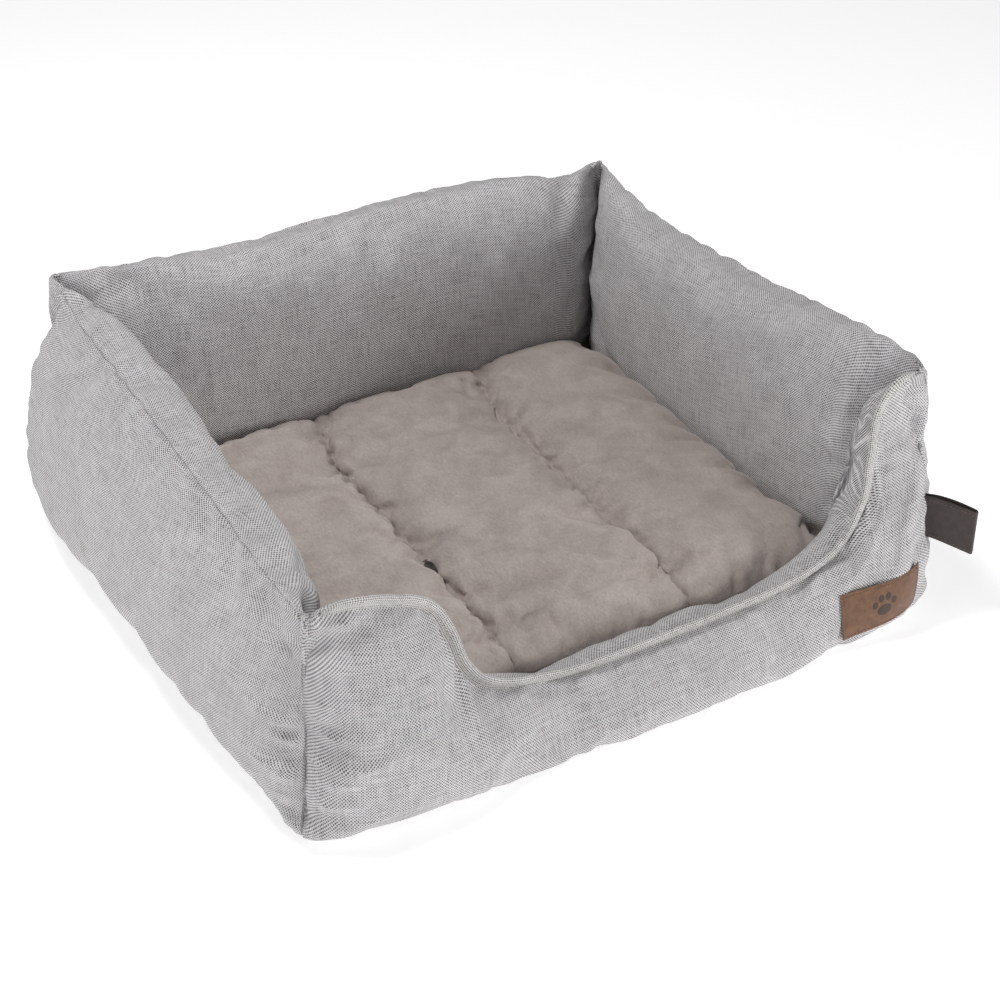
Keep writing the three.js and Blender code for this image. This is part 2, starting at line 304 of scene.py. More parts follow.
# %% Wall sections
SEAM_IN = {"front": 15 * MM, "right": 9 * MM, "back": 9 * MM, "left": 9 * MM}
SEAM_DROP = {"front": 4 * MM, "right": 13 * MM, "back": 13 * MM, "left": 13 * MM}
WING_DROP = 8 * MM  # how far the stuffing's top lies below the welt on the front wall's wings
CREST_IN = {"front": 28 * MM, "right": 32 * MM, "back": 30 * MM, "left": 34 * MM}
WING_CREST_IN = 7 * MM  # how much further in it lies there
ENTRY_LEVELS = (0.075, 0.13)  # between these heights the front wall's entry turns into its wings
# Both walls have this section at their shared corner.
CORNER_IN = 10 * MM
CORNER_CREST_IN = 18 * MM
CORNER_SWELL = 5 * MM
CORNER_CREASE = 2.5 * MM  # how far a corner's stitching sinks between the two walls
CORNER_TUCK = 20 * MM  # how far the inner panels turn back into a corner
OUTER_SWELL = {"front": 31 * MM, "right": 20 * MM, "back": 22 * MM, "left": 29 * MM}
FULLNESS_POWER = {"front": 0.05, "right": 0.3, "back": 0.3, "left": 0.3}
# How far a wall's left and right ends are pinched: a low power starts far from the corner.
PINCH_POWER = {"front": (8, 4), "right": (2.6, 8), "back": (8, 8), "left": (8, 2.6)}
INNER_SWELL = {"front": 10 * MM, "right": 4 * MM, "back": 8 * MM, "left": 11 * MM}
# How far the corner seam at a wall's left and right end is drawn in above half height, and how far
# the cloth's tail stands out at its foot.
CORNER_WAIST = {"front": (2, 7), "right": (7, 2), "back": (2, 2), "left": (2, 2)}
CORNER_TAIL = {"front": (10, 3), "right": (3, 6), "back": (6, 6), "left": (6, 10)}
WAIST_LEVEL, WAIST_SPREAD = 165 * MM, 55 * MM
TAIL_LEVEL, TAIL_SPREAD = 16 * MM, 11 * MM
WAVE_HEIGHT, WAVE_LENGTH = 1.6 * MM, 19 * MM  # the corner seam's small waves; a length for a radian
AWAY_POWER = 6  # how soon, away from a corner, a wall takes its own section
MITRE_REACH = 0.11  # how far from its corner a wall starts to bend round it
TUCK_REACH = 0.026
OUTSIDE_DEPTHS = (8 * MM, 30 * MM)  # a wall's outer side ends between these depths
CREST_FOLLOW = 0.4  # how far a column's foot follows its place on the crest
CLIMB_POWER = 1.5
FRONT_FINER = 1.4  # the front wall's crest is longer than the wall, so it gets more columns
COLUMN_SPACING = 6 * MM
FULL_HEIGHT = 0.24
FOOT_LEVEL = 0.8 * MM
PANEL_ROWS = np.concatenate([[0, 0.01, 0.025], np.linspace(0.05, 0.94, 35), [0.962, 0.98, 0.991, 1]])
SEAM_ROW = len(PANEL_ROWS) - 1
print("a wall has", 2 * SEAM_ROW + 1, "rows, and its seam is row", SEAM_ROW)


# %% Curves
def smooth_line(knots, shares):
    """A smooth curve through the knots, read at shares of its length from 0 to 1."""
    knots = np.asarray(knots, float)
    padded = np.vstack([2 * knots[0] - knots[1], knots, 2 * knots[-1] - knots[-2]])
    t = np.linspace(0, 1, 24, endpoint=False)[:, None]
    fine = []
    for a, b, c, d in zip(padded, padded[1:], padded[2:], padded[3:]):
        square = (2 * a - 5 * b + 4 * c - d) * t**2
        cube = (3 * b - a - 3 * c + d) * t**3
        fine.append(0.5 * (2 * b + (c - a) * t + square + cube))
    fine = np.vstack([*fine, knots[-1:]])
    run = run_along(fine)
    return np.stack([np.interp(shares * run[-1], run, side) for side in fine.T], axis=1)


def column_shares(length):
    """Shares along a wall, close together at both ends, where the cloth puckers."""
    ends = np.array([0, 1.5, 3.5, 6.5, 10.5]) * MM / length
    middle = np.linspace(15 * MM / length, 1 - 15 * MM / length, round(length / COLUMN_SPACING))
    return np.concatenate([ends, middle, 1 - ends[::-1]])


def bezier(*knots):
    """A Bezier curve for every column at once.  A knot is (inwards, up), each one number or many."""
    t = np.linspace(0, 1, 60)[None, :, None]
    count = max(np.size(value) for knot in knots for value in knot)
    a, b, c, d = [np.stack([value + np.zeros(count) for value in knot], axis=1)[:, None] for knot in knots]
    return (1 - t) ** 3 * a + 3 * (1 - t) ** 2 * t * b + 3 * (1 - t) * t**2 * c + t**3 * d


def read_along(line, shares):
    """Reads each column's line at shares of its length, and gives the length run to each read."""
    steps = np.linalg.norm(np.diff(line, axis=1), axis=2)
    run = np.concatenate([np.zeros((len(line), 1)), np.cumsum(steps, axis=1)], axis=1)
    reads = [[np.interp(shares * r[-1], r, side) for side in column.T] for r, column in zip(run, line)]
    return np.transpose(reads, (0, 2, 1)), run[:, -1:] * shares


# %% Wall grids
def corner_bow(height, waist, tail):
    """How far a corner seam stands out along the corner's diagonal, at each height."""
    wave = WAVE_HEIGHT * np.sin(height / WAVE_LENGTH) * smoothstep(height, 20 * MM, 60 * MM)
    pulled_in = waist * MM * np.exp(-(((height - WAIST_LEVEL) / WAIST_SPREAD) ** 2))
    return wave - pulled_in + tail * MM * np.exp(-(((height - TAIL_LEVEL) / TAIL_SPREAD) ** 2))


def wall_lines(name, height, to_corner, full):
    """Each column's outer line, from foot to seam, and its inner line, over the stuffing and down."""
    away = 1 - to_corner**AWAY_POWER
    low = 1 - smoothstep(height, *ENTRY_LEVELS) if name == "front" else np.ones_like(height)
    rise = height - FOOT_LEVEL
    seam = (CORNER_IN + (SEAM_IN[name] - CORNER_IN) * away, height - SEAM_DROP[name] * away * low)
    crest_in = CREST_IN[name] + WING_CREST_IN * (1 - low)
    top = (CORNER_CREST_IN + (crest_in - CORNER_CREST_IN) * away, height - WING_DROP * away * (1 - low))
    out = CORNER_SWELL + OUTER_SWELL[name] * full
    into = WALL_FOOT + INNER_SWELL[name] * full
    low_pull = (-2 * out, FOOT_LEVEL - 0.15 * rise)
    high_pull = (-0.8 * out, FOOT_LEVEL + 0.75 * rise)
    outer = bezier((0, FOOT_LEVEL), low_pull, high_pull, seam)
    outer[..., 1] = np.maximum(outer[..., 1], FOOT_LEVEL)
    from_seam = (seam[0] + 5 * MM * away, seam[1] + 3 * MM * away)
    roll = bezier(seam, from_seam, (top[0] - 7 * MM * away, top[1]), top)
    from_top = (top[0] + 14 * MM * away, top[1])
    fall = bezier(top, from_top, (into, FOOT_LEVEL + 0.6 * rise), (WALL_FOOT, FOOT_LEVEL))
    return outer, np.concatenate([roll, fall[:, 1:]], axis=1)


def into_corners(name, x, section, foot_x, to_corner):
    """Bends a wall's ends onto the corners' slanting planes.  Returns x and the depth inwards."""
    half = wall_length(name) / 2
    mitre = smoothstep(to_corner, 1 - MITRE_REACH / half, 1)[:, None]
    tuck = smoothstep(to_corner, 1 - TUCK_REACH / half, 1)[:, None]
    outside = 1 - smoothstep(section[:, :, 0], *OUTSIDE_DEPTHS)
    waist, tail = [np.where(foot_x < 0, *ends[name])[:, None] for ends in (CORNER_WAIST, CORNER_TAIL)]
    gap = (1 - to_corner[:, None]) * wall_length(name) / 2
    crease = CORNER_CREASE * np.exp(-((gap / (3 * MM)) ** 2))
    inwards = section[:, :, 0] + (crease - corner_bow(section[:, :, 1], waist, tail) * mitre**3) * outside
    inwards = inwards - CORNER_TUCK * tuck * (1 - outside)
    return x - np.sign(x) * mitre * inwards, inwards


def wall_grid(name):
    """The wall's cloth in its own frame: points, and UVs in metres."""
    length = wall_length(name)
    shares = column_shares(length * (FRONT_FINER if name == "front" else 1))
    crest = smooth_line(np.array(CRESTS[name]) * MM, shares)
    foot_x = CREST_FOLLOW * crest[:, 0] + (1 - CREST_FOLLOW) * length * (shares - 0.5)
    to_corner = np.abs(foot_x) / (length / 2)
    pinch = np.where(foot_x < 0, *PINCH_POWER[name])
    full = (crest[:, 1] / FULL_HEIGHT) ** FULLNESS_POWER[name] * (1 - to_corner**pinch)
    outer_line, inner_line = wall_lines(name, crest[:, 1], to_corner, full)
    outer, outer_run = read_along(outer_line, PANEL_ROWS)
    inner, inner_run = read_along(inner_line, 1 - PANEL_ROWS[-2::-1])
    section = np.concatenate([outer, inner], axis=1)
    run = np.concatenate([outer_run, outer_run[:, -1:] + inner_run], axis=1)
    climb = np.concatenate([PANEL_ROWS, PANEL_ROWS[-2::-1]]) ** CLIMB_POWER
    x = foot_x[:, None] + (crest[:, 0] - foot_x)[:, None] * climb
    x, inwards = into_corners(name, x, section, foot_x, to_corner)
    steps = np.hypot(np.diff(x, axis=0), np.diff(inwards, axis=0))
    across = np.concatenate([np.zeros((1, x.shape[1])), np.cumsum(steps, axis=0)])
    across -= across[len(across) // 2]
    return np.stack([x, inwards, section[:, :, 1]], axis=2), np.stack([across, run], axis=2)


def to_bed(name, points):
    """Turns points from a wall's own frame into the bed's."""
    angle = TURNS[name] * math.pi / 2
    reach = (BED_DEPTH if name in ("front", "back") else BED_WIDTH) / 2
    along = np.array([math.cos(angle), math.sin(angle), 0])
    inwards = np.array([-math.sin(angle), math.cos(angle), 0])
    x, y, z = points[..., 0:1], points[..., 1:2] - reach, points[..., 2:3]
    return x * along + y * inwards + z * np.array([0, 0, 1])


# %% [markdown]
# The walls are puffed one at a time, with both feet and both corner seams held.  The seam between
# the two panels is held by half, because it sits on the fibre alone.  Where two inner panels press
# on each other in a corner, each stops at the corner's slanting plane, which leaves the deep crease
# that stuffed walls have there.  The coarse grid that suits the simulation is then made twice as
# fine each way and evened out.

# %% Puffed wall cloth
WALL_GROWTH = 0.05
SEAM_HOLD = 0.5
BESIDE_SEAM_HOLD = 0.3
EVEN_POINTS, EVEN_NORMALS = 6, 8  # passes
FINE_SEAM = 2 * SEAM_ROW


def stop_at_corner(name, points):
    """Keeps a wall's points on its own side of the corner planes and above the ground."""
    limit = wall_length(name) / 2 - points[..., 1]
    stopped = points.copy()
    stopped[..., 0] = np.clip(points[..., 0], -limit, limit)
    stopped[..., 2] = np.maximum(points[..., 2], FOOT_LEVEL)
    return stopped


def puffed_wall(name):
    points, uv = wall_grid(name)
    held = np.zeros(points.shape[:2])
    held[:, SEAM_ROW - 2:SEAM_ROW + 3] = BESIDE_SEAM_HOLD
    held[:, SEAM_ROW] = SEAM_HOLD
    held[:, [0, -1]] = 1
    held[[0, -1], :] = 1
    shell = grid_object(f"{name}_shell", points, uv)
    moved = puff(shell, held, WALL_GROWTH).reshape(points.shape)
    bpy.data.objects.remove(shell)
    return stop_at_corner(name, moved), uv


def finer(grid):
    """Twice as many points each way, on smooth curves through the old ones."""
    for _ in range(2):
        ends = np.concatenate([2 * grid[:1] - grid[1:2], grid, 2 * grid[-1:] - grid[-2:-1]])
        between = (9 * (ends[1:-2] + ends[2:-1]) - ends[:-3] - ends[3:]) / 16
        doubled = np.zeros((2 * len(grid) - 1, *grid.shape[1:]))
        doubled[::2], doubled[1::2] = grid, between
        grid = doubled.swapaxes(0, 1)
    return grid


def evened(grid, passes):
    """Each inner point moved half way to the middle of its neighbours."""
    grid = grid.copy()
    for _ in range(passes):
        around = grid[:-2, 1:-1] + grid[2:, 1:-1] + grid[1:-1, :-2] + grid[1:-1, 2:]
        grid[1:-1, 1:-1] = grid[1:-1, 1:-1] / 2 + around / 8
    return grid


walls = {}
for name in CRESTS:
    points, uv = puffed_wall(name)
    walls[name] = (stop_at_corner(name, evened(finer(points), EVEN_POINTS)), finer(uv))

# %% [markdown]
# ## Folds, puckers and the sewn groove
#
# The simulation gives the large shape.  The small marks of sewing are pressed in afterwards along
# the surface's normals, because their places are known: a groove along the seam, short puckers that
# run away from each corner seam, soft upright folds on the inner panels, and slow unevenness from
# lumps in the fibre.

# %% Marks on the walls
SEAM_GROOVE = {"front": 1.0 * MM, "right": 3 * MM, "back": 3 * MM, "left": 3 * MM}
PUCKER_PITCH = 17 * MM
PUCKER_LENGTH = 72 * MM
PUCKER_WIDTH = 4.5 * MM
# The puckers' height at the left and right end of each wall, as seen from outside the bed.
PUCKER_HEIGHT = {"front": (5.0, 2.2), "right": (2.2, 2.0), "back": (2.0, 2.0), "left": (2.0, 5.5)}
FOLD_BOOST = 1.7
# Folds on the inner panels, in millimetres: the two ends as (along, up), then width and height.
INNER_FOLDS = {
    "back": [
        ((165, 170), (162, 88), 5, 1.6),
        ((190, 200), (176, 120), 12, 1.4),
        ((62, 205), (48, 120), 9, 1.8),
        ((22, 212), (8, 100), 12, 2.0),
        ((-20, 205), (-34, 140), 10, 1.2),
        ((-88, 215), (-96, 165), 7, 1.0),
        ((-150, 205), (-140, 90), 16, 1.4),
    ],
    "right": [
        ((-178, 215), (-165, 100), 9, 2.2),
        ((-205, 222), (-196, 140), 7, 2.2),
        ((-130, 205), (-120, 90), 13, 1.6),
        ((-60, 205), (-76, 120), 10, 1.4),
        ((5, 195), (-4, 100), 7, 1.3),
        ((60, 190), (48, 100), 9, 1.3),
        ((120, 180), (150, 90), 14, 1.4),
    ],
    "left": [((-90, 190), (-84, 90), 12, 1.5), ((80, 190), (92, 90), 12, 1.5)],
    "front": [],
}


def fold_rise(flat, start, end, width, height):
    """A rounded ridge from start to end, on points given as (along, up)."""
    a, b = np.array(start) * MM, np.array(end) * MM
    share = np.clip(((flat - a) @ (b - a)) / ((b - a) @ (b - a)), 0, 1)
    gap = np.linalg.norm(flat - (a + share[..., None] * (b - a)), axis=-1)
    fade = np.sin(np.pi * np.clip(share, 0.04, 0.96)) ** 0.6
    return height * MM * fade * np.exp(-((gap / (width * MM)) ** 2))


def pucker_rise(points, uv, end, height):
    """Ridges that run out from a corner seam, each with its own length, slope and place."""
    gap = (points[..., 0] - points[0 if end < 0 else -1, :, 0]) * -end
    rise = np.zeros(gap.shape)
    for number in range(round(uv[..., 1].max() / PUCKER_PITCH)):
        place = PUCKER_PITCH * (number + 0.5 + 0.3 * math.sin(2.4 * number + end))
        length = PUCKER_LENGTH * (0.85 + 0.45 * math.sin(1.9 * number + 2 * end))
        slope = 0.22 + 0.2 * math.sin(3.1 * number)
        across = (uv[..., 1] - place - slope * gap) / (PUCKER_WIDTH * (0.8 + 0.6 * gap / length))
        fade = smoothstep(gap, 0, 6 * MM) * (1 - smoothstep(gap, 0.3 * length, length))
        rise += (0.75 + 0.35 * math.sin(5.3 * number)) * fade * np.exp(-np.abs(across) ** 1.5)
    return height * MM * rise


def mark_wall(name, points, uv, seed):
    normal = evened(grid_normals(points), EVEN_NORMALS)
    reach = np.abs(uv[..., 1] - uv[:, FINE_SEAM, 1][:, None])
    rise = -SEAM_GROOVE[name] * np.exp(-((reach / (2.6 * MM)) ** 2))
    rise += 1.6 * MM * lumps(points, 85 * MM, seed) + 0.7 * MM * lumps(points, 34 * MM, seed + 1)
    for end, height in zip((-1, 1), PUCKER_HEIGHT[name]):
        rise += pucker_rise(points, uv, end, height)
    inner = rise[:, FINE_SEAM + 1:]
    for start, end, width, height in INNER_FOLDS[name]:
        inner += fold_rise(points[:, FINE_SEAM + 1:, [0, 2]], start, end, width, FOLD_BOOST * height)
    print(name, "marks from", round(rise.min() / MM, 1), "to", round(rise.max() / MM, 1), "mm")
    held = np.ones_like(rise)
    held[[0, -1], :] = 0
    held[:, [0, -1]] = 0
    return stop_at_corner(name, points + normal * (rise * held)[..., None])


for number, (name, (points, uv)) in enumerate(walls.items()):
    walls[name] = (mark_wall(name, points, uv, 5 * number + 1), uv)


# %% Wall panels
SIDES = {"outer": slice(0, FINE_SEAM + 1), "inner": slice(FINE_SEAM, None)}


def wall_panel(name, side):
    points, uv = walls[name]
    rows = SIDES[side]
    panel = grid_object(f"{name}_{side}_cloth", to_bed(name, points[:, rows]), uv[:, rows])
    as_cloth(panel, CLOTH_THICKNESS, levels=0)
    settle(panel, "bed", f"{name}_{side}_panel")
    return panel


panels = {(name, side): wall_panel(name, side) for name in CRESTS for side in SIDES}
print(len(panels), "panels,", sum(len(panel.data.polygons) for panel in panels.values()), "faces")

# %% [markdown]
# ## Fibre fill
#
# Hollow polyester fibre fills each wall and each channel of the cushion.  It never shows on a whole
# bed, but it is a real piece, so it is made as a closed form a little inside its cloth, and it stops
# short of the corners that the seams pinch flat.  A row of rings, each a section through the fibre,
# is the simplest way to build a closed form of any length.


def ring_faces(count, size, start):
    i, j = np.meshgrid(np.arange(count - 1), np.arange(size), indexing="ij")
    here, beside = i * size + j, i * size + (j + 1) % size
    sides = np.stack([here, beside, beside + size, here + size], axis=-1).reshape(-1, 4) + start
    last = start + (count - 1) * size
    return sides.tolist() + [list(range(start + size - 1, start - 1, -1)), list(range(last, last + size))]


def ring_object(name, forms, uv=None):
    """One object of closed forms, each a stack of rings: (rings, points in a ring, 3)."""
    faces, start = [], 0
    for rings in forms:
        faces += ring_faces(rings.shape[0], rings.shape[1], start)
        start += rings.shape[0] * rings.shape[1]
    piece = new_object(name, np.concatenate([rings.reshape(-1, 3) for rings in forms]), faces, uv)
    shape = bmesh.new()
    shape.from_mesh(piece.data)
    bmesh.ops.recalc_face_normals(shape, faces=shape.faces)
    shape.to_mesh(piece.data)
    shape.free()
    return piece


def drawn_in(rings, depth):
    """Rings made smaller in y and z about their middles: each side moves in by a depth."""
    section = rings[..., 1:]
    low, high = section.min(axis=1, keepdims=True), section.max(axis=1, keepdims=True)
    middle, half = (low + high) / 2, (high - low) / 2
    section = middle + (section - middle) * np.clip(1 - depth / np.maximum(half, 1e-6), 0.3, 1)
    return np.concatenate([rings[..., :1], section], axis=2)


def fibre(name, rings, body, node):
    piece = ring_object(name, [rings])
    settle(piece, body, node)
    return piece


# %% Fibre in the walls
FIBRE_GAP = 9 * MM
FIBRE_SHORT = 65 * MM  # where the corner seams pinch the walls, the fibre stops


def kept_inside(core, cloth):
    """Moves fibre points that come too near the cloth, or lie outside it, back in."""
    faces = grid_faces(*cloth.shape[:2])
    surface = BVHTree.FromPolygons(cloth.reshape(-1, 3).tolist(), [list(face) for face in faces])
    for spot in np.ndindex(core.shape[:2]):
        near, facing, _, _ = surface.find_nearest(Vector(core[spot]))
        if (Vector(core[spot]) - near).dot(facing) > -0.7 * FIBRE_GAP:
            core[spot] = near - facing * FIBRE_GAP
    return core


def wall_core(points):
    """Rings inside a wall: its cloth moved in along the normals, short of the crest and corners."""
    moved = points - grid_normals(points) * FIBRE_GAP
    rows = [*range(2, FINE_SEAM - 14, 6), *range(FINE_SEAM + 16, points.shape[1] - 2, 6)]
    reach = np.abs(points[..., 0]).max(axis=1)
    core = moved[reach < reach.max() - FIBRE_SHORT][::4, rows]
    core = kept_inside(core, points)
    core[..., 2] = np.maximum(core[..., 2], 4 * MM)
    return core


wall_fibre = []
for name, (points, uv) in walls.items():
    rings = to_bed(name, wall_core(points))
    wall_fibre.append(fibre(f"{name}_wall_fibre", rings, "bed", f"{name}_fill"))
print(len(wall_fibre), "wall fills")

# %% [markdown]
# ## The cushion
#
# The cushion is two covers sewn together round the rim, quilted by two seams from back to front, so
# the fibre sits in three channels.  The top is short plush.  Its crown is drawn as a rounded pillow
# with a narrow valley at each seam, then puffed with the rim and the seams held, which lifts steep
# shoulders beside each seam and gathers them as real quilting does.

# %% Cushion sizes
top_low, top_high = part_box("cushion_top_cover")
middle_low, middle_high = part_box("cushion_fill_middle")
CUSHION_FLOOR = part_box("cushion_bottom_cover")[0].z + 0.6 * MM
CUSHION_RIM = CUSHION_FLOOR + 15 * MM
CUSHION_CROWN = top_high.z - 5 * MM
CHANNEL_SEAMS = (middle_low.x, middle_high.x)
CUSHION_GROWTH = 0.08
RIGHT_EDGE = top_high.x + 7 * MM  # the plush rides up a little on the right wall
EDGE_SHARES = np.array([0, 0.008, 0.022, 0.045])
POINT_SPACING = 6.5 * MM
print("cushion", [round(side, 3) for side in top_high - top_low], "seams at", CHANNEL_SEAMS)


# %% Cushion cloth
def clustered(low, high):
    """Places from low to high, close together at both ends."""
    middle = np.linspace(0.075, 0.925, round((high - low) / POINT_SPACING))
    return low + (high - low) * np.concatenate([EDGE_SHARES, middle, 1 - EDGE_SHARES[::-1]])


channel_edges = [top_low.x, *CHANNEL_SEAMS, RIGHT_EDGE]
channel_places = [clustered(a, b) for a, b in zip(channel_edges, channel_edges[1:])]
column_places = np.concatenate([channel_places[0], *[places[1:] for places in channel_places[1:]]])
row_places = clustered(top_low.y, top_high.y)
seam_columns = [int(np.argmin(np.abs(column_places - seam))) for seam in CHANNEL_SEAMS]


def cushion_grid(crown, rim, edge_power, seam_depth, seam_spread):
    """One cover as a grid.  It leaves the rim level at the edges and at part height at the seams."""
    x, y = np.meshgrid(column_places, row_places, indexing="ij")
    middle = (top_low + top_high) / 2
    across = (x - middle.x) / (top_high.x - top_low.x) * 2
    deep = (y - middle.y) / (top_high.y - top_low.y) * 2
    across = np.clip(across, -1, 1)
    edge = (np.clip(1 - np.abs(across) ** edge_power, 0, 1) * np.clip(1 - np.abs(deep) ** 12, 0, 1)) ** 0.45
    gap = np.min([np.abs(x - seam) for seam in CHANNEL_SEAMS], axis=0)
    valley = 1 - seam_depth * np.exp(-((gap / seam_spread) ** 1.3))
    z = rim + (crown - rim) * edge * valley
    pull = 1 - 0.03 * np.abs(across * deep) ** 6
    notch = 1 - 0.022 * np.exp(-((gap / (9 * MM)) ** 2)) * deep**8
    bow = 1 - 0.012 * (1 - deep**2) * across**6
    wander = 18 * MM * smoothstep(y, 0.1, 0.2) * np.exp(-((gap / (70 * MM)) ** 2))
    spot = [middle.x + (x - middle.x) * pull * bow + wander, middle.y + (y - middle.y) * pull * notch, z]
    return np.stack(spot, axis=2), np.stack([x, y], axis=2)


# Soft folds on the plush, in millimetres: two ends as (x, y), then width and height.  A fold with a
# height below zero is a crease.
CUSHION_FOLDS = [
    ((-215, 99), (-128, 86), 5, -3.2), ((-140, 88), (-88, 66), 5, -3.2), ((-205, 84), (-95, 56), 13, 2.6),
    ((-66, 28), (-52, 72), 8, -3.0), ((-54, 66), (-14, 104), 8, -3.0), ((-20, 102), (92, 112), 7, -2.6),
    ((-44, 24), (-30, 66), 15, 3.0), ((-26, 74), (70, 90), 15, 3.0), ((24, 140), (88, 128), 8, -1.8),
    ((142, 16), (238, -14), 10, 3.4), ((140, -38), (246, -78), 8, 3.6), ((150, -18), (240, -52), 7, -2.6),
    ((172, -72), (246, -96), 6, 3.2), ((196, -216), (226, -182), 5, 1.8), ((60, -149), (100, -166), 7, 2.2),
    ((-60, -90), (20, -132), 16, 2.2), ((-40, -170), (30, -196), 14, 1.8), ((110, 60), (150, 48), 8, 2.0),
    ((-190, -20), (-110, -60), 16, 2.2), ((-170, -120), (-100, -150), 12, 2.0), ((40, 20), (96, 10), 9, -1.8),
]


def puffed_top():
    points, uv = cushion_grid(CUSHION_CROWN, CUSHION_RIM, 12, 0.36, 4.5 * MM)
    held = np.zeros(points.shape[:2])
    held[seam_columns, :] = 1
    held[[0, -1], :] = 1
    held[:, [0, -1]] = 1
    shell = grid_object("cushion_shell", points, uv)
    moved = finer(puff(shell, held, CUSHION_GROWTH, cap=8 * MM).reshape(points.shape))
    uv, held = finer(uv), finer(held[..., None])[..., 0].clip(0, 1)
    bpy.data.objects.remove(shell)
    rise = 1.3 * MM * lumps(moved, 60 * MM, 31)
    gap = np.min([np.abs(uv[..., 0] - seam) for seam in CHANNEL_SEAMS], axis=0)
    tuft = np.exp(-((gap / (16 * MM)) ** 2))
    rise += (0.5 + 1.7 * tuft) * MM * lumps(moved, 13 * MM, 37)
    for start, end, width, height in CUSHION_FOLDS:
        rise += fold_rise(moved[..., :2], start, end, width, height)
    print("cushion marks from", round(rise.min() / MM, 1), "to", round(rise.max() / MM, 1), "mm")
    return moved + grid_normals(moved) * (rise * (1 - held))[..., None], uv


def cushion_floor():
    """The bottom cover: it rolls under from the rim and lies flat, nipped up a little at the seams."""
    points, uv = cushion_grid(CUSHION_FLOOR, CUSHION_RIM, 16, 0.3, 9 * MM)
    points[..., 2] = np.maximum(points[..., 2], CUSHION_FLOOR)
    return points, uv


cushion_top, cushion_uv = puffed_top()
cushion_bottom, bottom_uv = [finer(grid) for grid in cushion_floor()]


# %% Cushion pieces
def cushion_cover(name, points, uv, node):
    panel = grid_object(name, points, uv)
    as_cloth(panel, CLOTH_THICKNESS, levels=0)
    settle(panel, "cushion", node)
    return panel


cushion_fibre = []
column_splits = [0, *[2 * column for column in seam_columns], cushion_top.shape[0] - 1]
for side, first, last in zip(("left", "middle", "right"), column_splits, column_splits[1:]):
    columns = slice(first + 8, last - 7, 4)
    rows = slice(4, -4, 4)
    rings = np.concatenate([cushion_top[columns, rows], cushion_bottom[columns, rows][:, ::-1]], axis=1)
    rings = kept_inside(drawn_in(rings, FIBRE_GAP), cushion_top)
    cushion_fibre.append(fibre(f"cushion_{side}_fibre", rings, "cushion", f"cushion_fill_{side}"))
plush_cover = cushion_cover(
    "cushion_plush_top", cushion_top, cushion_uv, "cushion_top_cover"
)
cushion_base = cushion_cover(
    "cushion_cloth_bottom", cushion_bottom[:, ::-1], bottom_uv[:, ::-1], "cushion_bottom_cover",
)
print("cushion crown reaches", round(float(cushion_top[..., 2].max()), 4))

# %% [markdown]
# ## The floor of the bed
#
# Under the cushion lies a lining of the wall cloth over a thin wadding, on a base cloth that carries
# the bed.  They only show when the cushion is lifted out or the bed is turned over, but the lining
# has the small slack waves of cloth that is sewn down at its edges alone.

# %% Floor pieces
def rounded_rectangle(half_width, half_depth, radius):
    """The outline of a rectangle with round corners, anticlockwise."""
    turn = np.linspace(0, math.pi / 2, 6)
    spots = []
    for quarter, (sx, sy) in enumerate([(1, 1), (-1, 1), (-1, -1), (1, -1)]):
        angle = turn + quarter * math.pi / 2
        spots.append(np.stack([sx * (half_width - radius) + radius * np.cos(angle),
                               sy * (half_depth - radius) + radius * np.sin(angle)], axis=1))
    return np.concatenate(spots)


def slab(name, half_width, half_depth, radius, levels):
    """A flat closed form: the same outline, drawn in a little, at each (height, inset)."""
    rings = []
    for level, inset in levels:
        outline = rounded_rectangle(half_width - inset, half_depth - inset, radius)
        rings.append(np.column_stack([outline, np.full(len(outline), level)]))
    return ring_object(name, [np.array(rings)])


def floor_sheet(name, half_width, half_depth, level, wave, node):
    """A sheet sewn down at its edges, with slack waves in between."""
    x, y = np.meshgrid(np.linspace(-1, 1, 80), np.linspace(-1, 1, 72), indexing="ij")
    flat = np.stack([x * half_width, y * half_depth, 0 * x], axis=2)
    inside = np.clip(1 - np.maximum(x**8, y**8), 0, 1)
    flat[..., 2] = level + wave * inside * (0.5 + 0.5 * lumps(flat, 55 * MM, 51))
    sheet = grid_object(name, flat, flat[..., :2])
    as_cloth(sheet, 1.2 * MM)
    settle(sheet, "bed", node)
    return sheet


lining_low, lining_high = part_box("floor_lining")
lining = floor_sheet(
    "floor_lining_cloth", (lining_high.x - lining_low.x) / 2, (lining_high.y - lining_low.y) / 2,
    lining_high.z - 0.6 * MM, 0.9 * MM, "floor_lining",
)
base_sheet = floor_sheet(
    "base_cloth_sheet", BED_WIDTH / 2 - 5 * MM, BED_DEPTH / 2 - 5 * MM,
    1.5 * MM, 0, "base_panel",
)
wadding_low, wadding_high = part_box("base_wadding")
WADDING_LEVELS = [(wadding_low.z + 0.2 * MM, 3 * MM), (wadding_low.z + 2 * MM, 1 * MM),
                  (wadding_high.z - 2 * MM, 1 * MM), (wadding_high.z - 0.3 * MM, 4 * MM)]
wadding = slab("base_wadding_pad", (wadding_high.x - wadding_low.x) / 2,
               (wadding_high.y - wadding_low.y) / 2, 10 * MM, WADDING_LEVELS)
settle(wadding, "bed", "base_wadding")
print("floor of", lining.name, wadding.name, base_sheet.name)

# %% [markdown]
# ## The welt
#
# A strip of the wall cloth, cut on the bias so that it bends round curves, is folded and sewn into
# the seam along the top of the front wall.  It stands proud as a flat rib with a stitched groove.
# It is swept along the seam that the puffed walls really have, not along the model's edge, so it
# follows every dip in the stuffing.

# %% Sweeping helpers
def unit(vectors):
    return vectors / np.maximum(np.linalg.norm(vectors, axis=-1, keepdims=True), 1e-12)


